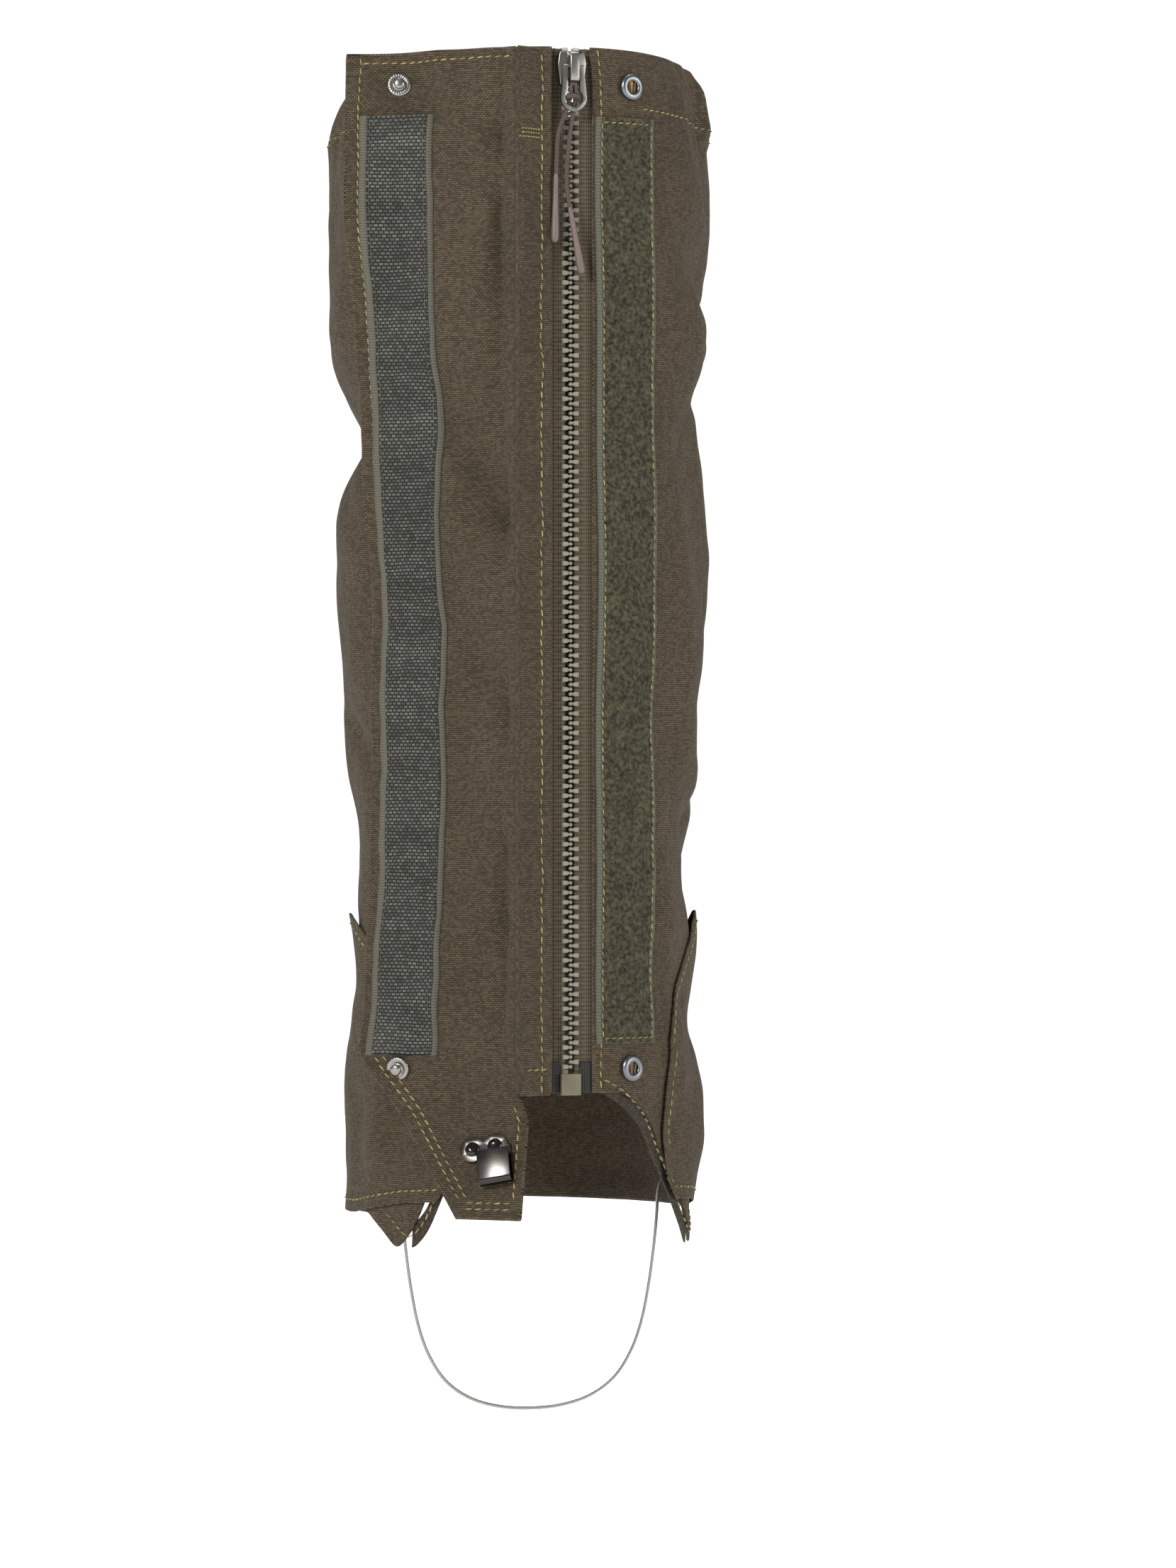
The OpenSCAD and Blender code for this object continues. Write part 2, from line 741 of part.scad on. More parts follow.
// The cord's hitch in the keyhole: two strands side by side and the turn that locks them
module pull_cord_hitch() {
    strand_top = pivot_z - 7.4;
    strand_bottom = pivot_z - tab_ring_drop + 1.6;
    r = pull_cord_d / 2;
    color("#4a3c36")
    translate([0, pivot_y, 0]) {
        for (side = [-1, 1])
            translate([side * (r + 0.15), 0, strand_bottom]) cylinder(r = r, h = strand_top - strand_bottom);
        translate([-2.3, 0, strand_bottom - r - 0.1]) rotate([0, 90, 0]) cylinder(r = r + 0.1, h = 4.6);
    }
}

// --- Cords ---

// A point on the smooth curve through four neighbouring points of a route, u from 0 to 1 between the
// middle two
function between(p, u) =
    0.5 * (2 * p[1] + (p[2] - p[0]) * u + (2 * p[0] - 5 * p[1] + 4 * p[2] - p[3]) * u * u
        + (3 * p[1] - p[0] - 3 * p[2] + p[3]) * u * u * u);

function smooth(route, parts) = let (last = len(route) - 1) [
    for (i = [0:last - 1], k = [0:parts - 1])
        between([route[max(i - 1, 0)], route[i], route[i + 1], route[min(i + 2, last)]], k / parts),
    route[last]
];

function unit(v) = v / norm(v);

// A tube with eight sides along a path. Every ring lies square to the path, and its first side is
// turned towards a fixed direction that the path never runs along.
module tube(path, d, steady) {
    sides = 8;
    last = len(path) - 1;
    rings = [
        for (i = [0:last])
            let (
                ahead = unit(path[min(i + 1, last)] - path[max(i - 1, 0)]),
                across = unit(cross(steady, ahead)),
                up = cross(ahead, across)
            )
            for (k = [0:sides - 1])
                path[i] + d / 2 * (cos(360 * k / sides) * across + sin(360 * k / sides) * up)
    ];
    faces = [
        [for (k = [0:sides - 1]) sides - 1 - k],
        for (i = [0:last - 1], k = [0:sides - 1])
            let (a = i * sides + k, b = i * sides + (k + 1) % sides)
            each [[a, b, b + sides], [a, b + sides, a + sides]],
        [for (k = [0:sides - 1]) last * sides + k]
    ];
    mirror_faces = [for (f = faces) [for (i = [len(f) - 1:-1:0]) f[i]]];
    polyhedron(points = rings, faces = mirror_faces);
}

module pull_cord_left() {
    color("#4a3c36") tube(smooth(cord_left_route, 1), pull_cord_d, [0, 1, 0]);
}

module pull_cord_right() {
    color("#4a3c36") tube(smooth(cord_right_route, 1), pull_cord_d, [0, 1, 0]);
}

// Moulded teardrop on a cord's end, widest near its closed end
module cord_tip(from, to) {
    length = norm(to - from);
    lean = to - from;
    color("#7a6a68")
    translate(from)
    rotate([0, acos(lean[2] / length), atan2(lean[1], lean[0])])
    rotate_extrude()
    polygon([
        [0, 0.05], [0.95, 0.05], [1.05, 0.4 * length], [1.4, 0.7 * length], [1.55, 0.85 * length],
        [1.35, 0.95 * length], [0.7, length], [0, length]
    ]);
}

module cord_tip_left() {
    cord_tip(cord_left_route[len(cord_left_route) - 1], left_tip_end);
}

module cord_tip_right() {
    cord_tip(cord_right_route[len(cord_right_route) - 1], right_tip_end);
}

module stirrup_wire() {
    color(steel_color) tube(smooth(wire_route, 3), wire_d, [0, 1, 0]);
}

// Stop crimped on each end of the wire, between the cloth and the tab's eyelet
module stirrup_ferrules() {
    color(steel_color)
    for (side = [-1, 1])
        translate([side * (tab_inner + 3.5), -wire_plane, wire_eyelet_height])
        rotate([0, 90, 0])
        difference() {
            cylinder(d = 4.4, h = 2.8, center = true);
            cylinder(d = wire_d + 0.04, h = 4, center = true);
        }
}

flap_side_panel();
loop_side_panel();
top_casing();
top_elastic();
ankle_guard();
instep_facing_left();
instep_facing_right();
flap_root();
zip_tape_left();
zip_tape_right();
zip_teeth_left();
zip_teeth_right();
zip_top_stops();
zip_end_film();
zip_pin();
zip_box();
loop_tape();
snap_sockets();
snap_socket_posts();
stirrup_tabs();
stirrup_eyelets();
flap_shell();
flap_facing();
hook_tape();
snap_studs();
snap_stud_caps();
lace_hook();
lace_hook_rivets();
slider_front();
slider_back();
pull_tab();
pull_cord_hitch();
pull_cord_left();
pull_cord_right();
cord_tip_left();
cord_tip_right();
stirrup_wire();
stirrup_ferrules();
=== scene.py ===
"""A hiking gaiter as it stands on a boot: zipped cloth sleeve, open storm flap, snaps, lace hook and wire.

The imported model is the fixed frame. Shapes are worked out here in millimetres, in the same frame, as
numpy surfaces: one surface for the sleeve, one for the storm flap. Every tape, hem and row of stitches
is laid on one of the two, so that all of them follow the same folds. Meshes are written in metres.
"""

import logging
import math
from dataclasses import dataclass
from enum import Enum
from typing import Sequence

import bmesh
import bpy
import numpy as np
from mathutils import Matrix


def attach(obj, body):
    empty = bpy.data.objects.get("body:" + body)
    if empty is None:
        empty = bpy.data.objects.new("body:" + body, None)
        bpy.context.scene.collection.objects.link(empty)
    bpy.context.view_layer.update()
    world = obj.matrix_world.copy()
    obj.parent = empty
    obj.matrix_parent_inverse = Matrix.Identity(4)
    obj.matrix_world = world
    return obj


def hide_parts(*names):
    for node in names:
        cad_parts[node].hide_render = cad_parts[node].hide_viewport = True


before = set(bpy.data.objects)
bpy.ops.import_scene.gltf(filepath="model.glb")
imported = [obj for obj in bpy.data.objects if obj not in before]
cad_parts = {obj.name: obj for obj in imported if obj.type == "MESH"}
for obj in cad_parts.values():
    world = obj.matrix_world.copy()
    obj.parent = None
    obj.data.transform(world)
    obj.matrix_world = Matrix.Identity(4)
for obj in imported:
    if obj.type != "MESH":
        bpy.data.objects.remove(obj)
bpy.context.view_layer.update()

LOG = logging.getLogger("gaiter")
MM = 0.001

RIM = 459.0
FRONT_DEPTH = 72.0
ZIP_FOOT = 49.0
ZIP_Y = -69.35
CLOTH_EDGE = 9.0
ARC_PER_DEGREE = 72.0 * math.pi / 180.0
CREASE = np.array([-24.0, -79.5])
FLAP_DIRECTION = 143.0
FLAP_CURVE = 220.0
FLAP_WIDTH = 68.0
SNAP_HEIGHTS = (58.0, 444.5)
SNAP_X = 26.0
SNAP_REACH = 50.0
WIRE_PLANE = -12.0

Points = np.ndarray
Route = Sequence[tuple[float, float, float]]


class Body(str, Enum):
    """The bodies that a piece can ride on."""

    GAITER = "gaiter"
    FLAP = "flap"
    SLIDER = "slider"
    PULL = "pull"
    STIRRUP = "stirrup"


# ---------------------------------------------------------------- camera and cords


@dataclass
class Studio:
    """Camera, lights, floor and world."""

    azimuth: float = -16.0
    distance: float = 2800.0
    height: float = 170.0
    aside: float = 26.4
    focal_widths: float = 5.918
    floor_height: float = -106.0
    floor_rings: tuple[float, ...] = (1.0, 400.0, 1200.0, 3000.0)
    floor_spokes: int = 96
    near_glow: float = 0.5
    far_glow: float = 1.05
    world_light: float = 0.3
    world_seen: float = 1.05

    def build_camera(self) -> None:
        """Level camera at the height of the ankle, a little to the left of the zip.

        The camera stands at distance from the leg's axis and looks level, shifted aside along its own
        right. Its lens is focal_widths times as long as the image is wide.
        """
        angle = math.radians(self.azimuth)
        back = np.array([math.sin(angle), -math.cos(angle), 0.0])
        right = np.array([math.cos(angle), math.sin(angle), 0.0])
        place = back * self.distance + right * self.aside + np.array([0, 0, self.height])
        data = bpy.data.cameras.new("camera")
        data.sensor_fit = "HORIZONTAL"
        data.sensor_width = 36.0
        data.lens = self.focal_widths * 36.0
        data.clip_start = 0.05
        data.clip_end = 60.0
        camera = bpy.data.objects.new("camera", data)
        camera.location = place * MM
        camera.rotation_euler = (math.pi / 2, 0.0, angle)
        bpy.context.scene.collection.objects.link(camera)
        bpy.context.scene.camera = camera

    def build_light(self) -> None:
        """A key light high on the left, a fill on the right, a light from above, and a white world.

        The world is seen white, and lights the object less than that, so that folds keep their shade.
        """
        world = bpy.data.worlds.new("studio_white")
        world.use_nodes = True
        background = world.node_tree.nodes["Background"]
        background.inputs["Color"].default_value = (1.0, 1.0, 1.0, 1.0)
        seen = add(world.node_tree, "LightPath")
        extra = self.world_seen - self.world_light
        white = add(world.node_tree, "Math", (seen, extra, self.world_light), operation="MULTIPLY_ADD")
        world.node_tree.links.new(white, background.inputs["Strength"])
        bpy.context.scene.world = world
        bpy.context.scene.view_settings.view_transform = "Standard"
        self.area_light("key", (-1500, -1250, 1150), 520, 42)
        self.area_light("fill", (1400, -1300, 500), 900, 20)
        self.area_light("top", (100, 300, 1700), 800, 12)

    def area_light(self, name: str, place: Sequence[float], size: float, power: float) -> None:
        """One square soft box aimed at the middle of the gaiter.

        Args:
            name: name of the light.
            place: its place in millimetres.
            size: length of its side in millimetres.
            power: its power in watts.
        """
        data = bpy.data.lights.new(name, "AREA")
        data.size = size * MM
        data.energy = power
        light = bpy.data.objects.new(name, data)
        spot = np.array(place, float)
        light.location = spot * MM
        aim = np.array([0.0, -30.0, 220.0]) - spot
        flat = math.hypot(aim[0], aim[1])
        light.rotation_euler = (math.atan2(flat, -aim[2]), 0.0, math.atan2(aim[1], aim[0]) - math.pi / 2)
        bpy.context.scene.collection.objects.link(light)

    def build_floor(self) -> None:
        """Pale round floor at the height of a boot's sole, which glows up to the white of the world.

        It is a disc of rings and spokes, so it hides nothing from any side. Its own glow rises with the
        distance from the middle, which keeps its far edge as white as the world behind it.
        """
        turn = np.linspace(0, 2 * np.pi, self.floor_spokes + 1)[None, :]
        ring = np.array(self.floor_rings)[:, None]
        flat = np.full((len(ring), turn.size), self.floor_height)
        floor = grid_mesh("floor", np.stack([ring * np.sin(turn), ring * np.cos(turn), flat], -1))
        paper = Plain("studio_paper", "#f6f5f3", 0.9).build()
        tree = paper.node_tree
        shader = tree.nodes["Principled BSDF"]
        shader.inputs["Emission Color"].default_value = (1.0, 1.0, 1.0, 1.0)
        place = add(tree, "TexCoord", out=3)
        distance = add(tree, "VectorMath", (place,), 1, operation="LENGTH")
        glow = add(tree, "MapRange", (distance, 0.5, 1.6, self.near_glow, self.far_glow))
        tree.links.new(glow, shader.inputs["Emission Strength"])
        floor.data.materials.append(paper)


# ---------------------------------------------------------------- numbers and meshes


def linear(code: str) -> tuple[float, float, float, float]:
    """Turns an sRGB hex code into linear red, green, blue and an alpha of 1."""
    parts = [int(code[i : i + 2], 16) / 255 for i in (1, 3, 5)]
    return tuple(c / 12.92 if c <= 0.04045 else ((c + 0.055) / 1.055) ** 2.4 for c in parts) + (1.0,)


def smooth_step(x: Points, low: float, high: float) -> Points:
    """0 below low, 1 above high, and 3t^2 - 2t^3 of the share t between them."""
    t = np.clip((x - low) / (high - low), 0.0, 1.0)
    return t * t * (3 - 2 * t)


def soft_lookup(x: Points, table: Sequence[tuple[float, float]], blur: float) -> Points:
    """Straight-line lookup in a table, averaged over seven places that span blur to each side of x.

    Args:
        x: where to look.
        table: pairs of key and value, with rising keys.
        blur: half the width of the average.

    Returns:
        One value for each x.
    """
    keys = np.array([row[0] for row in table], float)
    values = np.array([row[1] for row in table], float)
    shares = np.linspace(-1, 1, 7)
    weights = np.cos(shares * math.pi / 2 * 0.9)
    total = sum(w * np.interp(x + blur * s, keys, values) for s, w in zip(shares, weights))
    return total / weights.sum()


def ripple(u: Points, v: Points, seed: int, wave: float, lean: float = 1.0, count: int = 14) -> Points:
    """Seeded smooth noise: plane waves of many directions added up, and divided by the root of count.

    Args:
        u: first coordinate.
        v: second coordinate.
        seed: seed of the directions and phases.
        wave: mean wavelength, in the coordinates' unit.
        lean: above 1, crests run more along u, and below 1, more along v.
        count: number of waves.

    Returns:
        Values of about -1.5 to 1.5, in the arrays' shape.
    """
    rng = np.random.default_rng(seed)
    total = np.zeros(np.broadcast(u, v).shape)
    for _ in range(count):
        angle = rng.uniform(0, math.pi)
        k = 2 * math.pi / (wave * rng.uniform(0.7, 1.6))
        total += np.sin(k * (u * math.cos(angle) / lean + v * math.sin(angle)) + rng.uniform(0, 7))
    return total / math.sqrt(count)


@dataclass(frozen=True)
class Fold:
    """A soft valley, or a ridge where depth is negative, along a line on the unrolled cloth."""

    start: tuple[float, float]
    end: tuple[float, float]
    depth: float
    width: float

    def height(self, u: Points, v: Points) -> Points:
        """Minus depth times exp(-(distance / width)^2), widening to the end and fading past both ends.

        Args:
            u: first coordinate.
            v: second coordinate.

        Returns:
            Heights in millimetres.
        """
        a = np.array(self.start, float)
        along = np.array(self.end, float) - a
        length = float(np.hypot(*along))
        along = along / length
        run = (u - a[0]) * along[0] + (v - a[1]) * along[1]
        away = (u - a[0]) * along[1] - (v - a[1]) * along[0]
        share = np.clip(run / length, 0, 1)
        width = self.width * (0.7 + 0.6 * share)
        window = smooth_step(run, -self.width, self.width)
        window = window * (1 - smooth_step(run, length * 0.6, length * 1.25))
        return -self.depth * np.exp(-((away / width) ** 2)) * window


def unit(v: Points) -> Points:
    """Vectors along the last axis, scaled to length 1."""
    return v / np.maximum(np.linalg.norm(v, axis=-1, keepdims=True), 1e-9)


def wrapped(t: Points) -> Points:
    """Angles in degrees, brought between -180 and 180."""
    return (np.asarray(t, float) + 180.0) % 360.0 - 180.0


def run_along(path: Points) -> Points:
    """Distance from a path's start to each of its points."""
    return np.concatenate([[0], np.cumsum(np.linalg.norm(np.diff(path, axis=0), axis=1))])


def points_at(stops: Points, run: Points, path: Points) -> Points:
    """Points of a path at the distances stops, between its own points in straight lines."""
    return np.stack([np.interp(stops, run, path[:, k]) for k in range(3)], -1)


def make_mesh(
    name: str,
    points: Points,
    faces: list,
    uv: Points | None = None,
    weld: bool = False,
    sharp: float = 40.0,
) -> bpy.types.Object:
    """Writes points in millimetres and faces into a new object.

    Args:
        name: name of the piece.
        points: array of points, in millimetres.
        faces: lists of point numbers.
        uv: one pair of millimetres for each point, or None.
        weld: whether doubles are merged and the faces of a closed shape turned outwards.
        sharp: angle in degrees above which an edge stays sharp.

    Returns:
        The new object, at the origin.
    """
    mesh = bpy.data.meshes.new(name)
    mesh.from_pydata((points * MM).tolist(), [], faces)
    if uv is not None:
        layer = mesh.uv_layers.new(name="UVMap")
        corner = np.zeros(len(mesh.loops), np.int32)
        mesh.loops.foreach_get("vertex_index", corner)
        layer.data.foreach_set("uv", (uv[corner] * MM).astype(np.float32).ravel())
    if weld:
        shape = bmesh.new()
        shape.from_mesh(mesh)
        bmesh.ops.remove_doubles(shape, verts=shape.verts, dist=1e-7)
        bmesh.ops.recalc_face_normals(shape, faces=shape.faces)
        shape.to_mesh(mesh)
        shape.free()
    mesh.polygons.foreach_set("use_smooth", np.ones(len(mesh.polygons), bool))
    mesh.set_sharp_from_angle(angle=math.radians(sharp))
    mesh.update()
    obj = bpy.data.objects.new(name, mesh)
    bpy.context.scene.collection.objects.link(obj)
    return obj


def grid_faces(rows: int, columns: int, start: int = 0, closed: bool = False) -> Points:
    """Four point numbers for each cell of a grid that is stored row by row.

    Args:
        rows: number of rows.
        columns: number of points in a row.
        start: number of the grid's first point.
        closed: whether each row's last point joins its first.

    Returns:
        One row of four numbers for each cell.
    """
    i = np.arange(rows - 1)[:, None]
    j = np.arange(columns if closed else columns - 1)[None, :]
    k = (j + 1) % columns
    cells = [i * columns + j, i * columns + k, (i + 1) * columns + k, (i + 1) * columns + j]
    return np.stack(np.broadcast_arrays(*cells), axis=-1).reshape(-1, 4) + start


def grid_mesh(name: str, grid: Points) -> bpy.types.Object:
    """One open sheet through a grid of points in millimetres."""
    rows, columns = grid.shape[:2]
    return make_mesh(name, grid.reshape(-1, 3), grid_faces(rows, columns).tolist())


def slab(name: str, outer: Points, inner: Points, uv: Points, bulge: float = 0.8) -> bpy.types.Object:
    """A thin closed sheet between two grids, with a rounded edge all round.

    The edge's middle line lies half way between the two grids' borders, pushed outwards along the
    sheet by bulge times half its thickness.

    Args:
        name: name of the piece.
        outer: grid of points of the outer face.
        inner: grid of the same size for the inner face.
        uv: two millimetre coordinates for each grid point.
        bulge: how round the edge is, from 0, square, to 1.

    Returns:
        The new object.
    """
    rows, columns = outer.shape[:2]
    count = rows * columns
    i, j = np.divmod(np.arange(count).reshape(rows, columns), columns)
    border = np.concatenate(
        [
            np.stack([i[0, :-1], j[0, :-1]], 1),
            np.stack([i[:-1, -1], j[:-1, -1]], 1),
            np.stack([i[-1, :0:-1], j[-1, :0:-1]], 1),
            np.stack([i[:0:-1, 0], j[:0:-1, 0]], 1),
        ]
    )
    bi, bj = border[:, 0], border[:, 1]
    ii, jj = np.clip(bi, 1, rows - 2), np.clip(bj, 1, columns - 2)
    middle = (outer + inner) / 2
    thick = np.linalg.norm(outer[bi, bj] - inner[bi, bj], axis=1, keepdims=True)
    edge = middle[bi, bj] + unit(middle[bi, bj] - middle[ii, jj]) * thick * 0.5 * bulge
    points = np.concatenate([outer.reshape(-1, 3), inner.reshape(-1, 3), edge])
    flat_uv = uv.reshape(-1, 2)
    all_uv = np.concatenate([flat_uv, flat_uv, uv[bi, bj]])
    a, b = outer[rows // 2, columns // 2], outer[rows // 2, columns // 2 + 1]
    c = outer[rows // 2 + 1, columns // 2]
    # grid_faces winds a cell from its row to the next, so its normal is along (b - a) x (c - a)
    outward = float(np.dot(np.cross(b - a, c - a), (outer - inner)[rows // 2, columns // 2])) > 0
    front = grid_faces(rows, columns)
    back = grid_faces(rows, columns, count)
    number = bi * columns + bj
    after = np.roll(number, -1)
    mid = 2 * count + np.arange(len(number))
    mid_after = np.roll(mid, -1)
    upper = np.stack([after, number, mid, mid_after], 1)
    lower = np.stack([mid_after, mid, number + count, after + count], 1)
    faces = [front, back[:, ::-1], upper, lower]
    if not outward:
        faces = [f[:, ::-1] for f in faces]
    return make_mesh(name, points, np.concatenate(faces).tolist(), all_uv)


def sweep(
    name: str, path: Points, radius: Points | float, sides: int, steady: Sequence[float]
) -> bpy.types.Object:
    """A round tube along a path, with flat closed ends.

    Every ring lies square to the path. Its first side points along the path's direction crossed with
    steady, a fixed direction that the path never runs along. UV is the run along it and round it.

    Args:
        name: name of the piece.
        path: points along the middle, in millimetres.
        radius: one radius, or one for each point.
        sides: number of sides.
        steady: the fixed direction.

    Returns:
        The new object.
    """
    points, faces, uv = tube_parts(path, radius, sides, steady)
    return make_mesh(name, points, faces, uv)


def tube_parts(
    path: Points, radius: Points | float, sides: int, steady: Sequence[float]
) -> tuple[Points, list, Points]:
    """Points, faces and UV of one tube, as sweep describes it.

    Args:
        path: points along the middle, in millimetres.
        radius: one radius, or one for each point.
        sides: number of sides.
        steady: the fixed direction.

    Returns:
        Points, faces and UV pairs.
    """
    ahead = unit(np.gradient(path, axis=0))
    across = unit(np.cross(np.array(steady, float), ahead))
    up = np.cross(ahead, across)
    turn = 2 * math.pi * np.arange(sides) / sides
    size = np.broadcast_to(np.asarray(radius, float), (len(path),))[:, None, None]
    ring = np.cos(turn)[None, :, None] * across[:, None] + np.sin(turn)[None, :, None] * up[:, None]
    points = (path[:, None] + size * ring).reshape(-1, 3)
    run = run_along(path)
    wide = 2 * math.pi * float(np.max(size))
    uv = np.stack(np.broadcast_arrays(run[:, None], (np.arange(sides) / sides * wide)[None, :]), -1)
    faces = grid_faces(len(path), sides, closed=True).tolist()
    last = (len(path) - 1) * sides
    faces.append(list(range(sides - 1, -1, -1)))
    faces.append(list(range(last, last + sides)))
    return points, faces, uv.reshape(-1, 2)


def lathe_points(profile: Sequence[tuple[float, float]], sides: int) -> Points:
    """Grid of points of a profile of (radius, height) pairs turned about Z.

    Args:
        profile: pairs of radius and height.
        sides: number of points round.

    Returns:
        One row of points for each pair.
    """
    outline = np.array(profile, float)
    turn = 2 * math.pi * np.arange(sides) / sides
    r, z = outline[:, 0][:, None], outline[:, 1][:, None]
    return np.stack(np.broadcast_arrays(r * np.cos(turn), r * np.sin(turn), z), -1)


def joined(parts: Sequence[tuple[Points, list]]) -> tuple[Points, list]:
    """Several shapes as one: all their points, and all their faces with the point numbers moved on.

    Args:
        parts: each shape's points and faces.

    Returns:
        Points and faces of the whole.
    """
    starts = np.cumsum([0] + [len(points) for points, _ in parts]).tolist()
    faces = [[k + start for k in face] for start, part in zip(starts, parts) for face in part[1]]
    return np.concatenate([points for points, _ in parts]), faces


def extrusion(
    outline: Sequence[tuple[float, float]], depth: float, chamfer: float
) -> tuple[Points, list]:
    """A flat outline drawn out along Z, with chamfered rims.

    The end faces are the outline shrunk towards its middle by about the chamfer.

    Args:
        outline: corners in order, anticlockwise.
        depth: height of the solid.
        chamfer: size of the chamfers.

    Returns:
        Points and faces.
    """
    flat = np.array(outline, float)
    count = len(flat)
    small = flat - unit(flat - flat.mean(0)) * chamfer
    levels = [(small, 0.0), (flat, chamfer), (flat, depth - chamfer), (small, depth)]
    points = np.concatenate([np.column_stack([f, np.full(count, z)]) for f, z in levels])
    faces = grid_faces(4, count, closed=True).tolist()
    faces.append(list(range(count - 1, -1, -1)))
    faces.append(list(range(3 * count, 4 * count)))
    return points, faces


def scatter(
    name: str, shape: Points, faces: list, places: Points, axes: Points, uv_of_copy: Points | None = None
) -> bpy.types.Object:
    """Many copies of one small shape in one mesh.

    A copy's point is its place plus the shape's three coordinates times the copy's three axes.

    Args:
        name: name of the piece.
        shape: points of the shape.
        faces: its faces.
        places: one place for each copy.
        axes: three axis vectors for each copy.
        uv_of_copy: one UV pair for each copy, for its own colour, or None.

    Returns:
        The new object.
    """
    points = places[:, None] + np.einsum("vk,ckx->cvx", shape, axes)
    step = len(shape)
    lists = []
    for size in sorted({len(f) for f in faces}):
        block = np.array([f for f in faces if len(f) == size])
        copies = (np.arange(len(places)) * step)[:, None, None] + block[None]
        lists += copies.reshape(-1, size).tolist()
    uv = None
    if uv_of_copy is not None:
        uv = np.repeat(uv_of_copy, step, axis=0)
    return make_mesh(name, points.reshape(-1, 3), lists, uv)


def smooth_route(route: Route, parts: int) -> Points:
    """The smooth curve through a route's points, with parts steps between neighbours.

    Between two points the curve is the cubic whose slope at each point is half the way between that
    point's neighbours.

    Args:
        route: the points, in millimetres.
        parts: steps between neighbours.

    Returns:
        Points along the curve.
    """
    p = np.array(route, float)
    ends = np.concatenate([p[:1], p, p[-1:]])
    share = np.arange(parts) / parts
    a, b, c, d = (ends[k : len(ends) - 3 + k, None] for k in range(4))
    t = share[None, :, None]
    curve = 0.5 * (
        2 * b + (c - a) * t + (2 * a - 5 * b + 4 * c - d) * t**2 + (3 * b - a - 3 * c + d) * t**3
    )
    return np.concatenate([curve.reshape(-1, 3), p[-1:]])


def dress(
    obj: bpy.types.Object, body: Body, material: bpy.types.Material, replaces: Sequence[str] = ()
) -> bpy.types.Object:
    """Gives a finished piece its material, its body and the nodes that it stands for.

    Args:
        obj: the piece.
        body: the body that it rides on.
        material: its finish.
        replaces: the CAD nodes that it stands for.

    Returns:
        The same object.
    """
    obj.data.materials.clear()
    obj.data.materials.append(material)
    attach(obj, body.value)
    if replaces:
        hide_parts(*replaces)
    LOG.info("%s: %d faces", obj.name, len(obj.data.polygons))
    return obj


def rounded_copy(name: str, node: str, radius: float, steps: int = 2) -> bpy.types.Object:
    """A copy of a CAD node with its doubles merged, flat faces joined and edges rounded.

    Args:
        name: name of the new piece.
        node: the CAD node.
        radius: radius of the edges, in millimetres.
        steps: segments across an edge.

    Returns:
        The new object.
    """
    obj = bpy.data.objects.new(name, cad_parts[node].data.copy())
    bpy.context.scene.collection.objects.link(obj)
    shape = bmesh.new()
    shape.from_mesh(obj.data)
    bmesh.ops.remove_doubles(shape, verts=shape.verts, dist=2e-6)
    bmesh.ops.dissolve_limit(shape, angle_limit=math.radians(2), verts=shape.verts, edges=shape.edges)
    shape.to_mesh(obj.data)
    shape.free()
    bevel = obj.modifiers.new("edges", "BEVEL")
    bevel.width = radius * MM
    bevel.segments = steps
    bevel.limit_method = "ANGLE"
    bevel.angle_limit = math.radians(35)
    bevel.harden_normals = False
    obj.data.polygons.foreach_set("use_smooth", np.ones(len(obj.data.polygons), bool))
    return obj


# ---------------------------------------------------------------- finishes


def add(
    tree: bpy.types.NodeTree, kind: str, inputs: Sequence | dict = (), out: int = 0, **settings
) -> bpy.types.NodeSocket:
    """Adds one node with its settings and links.

    Args:
        tree: the material's node tree.
        kind: the node's type, without its "ShaderNode" prefix.
        inputs: values or output sockets, in order, or by the input's name or place.
        out: which of its outputs is wanted.
        **settings: the node's own settings.

    Returns:
        That output socket. Its node is the socket's own node.
    """
    node = tree.nodes.new("ShaderNode" + kind)
    for key, value in settings.items():
        setattr(node, key, value)
    pairs = inputs.items() if isinstance(inputs, dict) else enumerate(inputs)
    for key, value in pairs:
        if isinstance(value, bpy.types.NodeSocket):
            tree.links.new(value, node.inputs[key])
        else:
            node.inputs[key].default_value = value
    return node.outputs[out]


def blank(name: str, roughness: float, metallic: float = 0.0) -> tuple:
    """A new material with its tree and its shader node, and nothing else in it.

    Args:
        name: name of the material.
        roughness: its roughness.
        metallic: 1 for a metal.

    Returns:
        The material, its tree and its shader node.
    """
    material = bpy.data.materials.new(name)
    material.use_nodes = True
    tree = material.node_tree
    shader = tree.nodes["Principled BSDF"]
    shader.inputs["Roughness"].default_value = roughness
    shader.inputs["Metallic"].default_value = metallic
    return material, tree, shader


def bumped(tree: bpy.types.NodeTree, shader: bpy.types.Node, layers: Sequence[tuple]) -> None:
    """Chains bump nodes, each from a height socket and its depth in millimetres.

    Args:
        tree: the material's node tree.
        shader: its shader node.
        layers: pairs of height socket and depth.
    """
    normal = None
    for height, depth in layers:
        inputs = {"Height": height, "Distance": depth * MM, "Strength": 1.0}
        if normal is not None:
            inputs["Normal"] = normal
        normal = add(tree, "Bump", inputs)
    tree.links.new(normal, shader.inputs["Normal"])


@dataclass(frozen=True)
class Plain:
    """A smooth even surface, such as studio paper."""

    name: str
    colour: str
    roughness: float

    def build(self) -> bpy.types.Material:
        """Returns the material.

        Returns:
            The material.
        """
        material, _, shader = blank(self.name, self.roughness)
        shader.inputs["Base Color"].default_value = linear(self.colour)
        return material


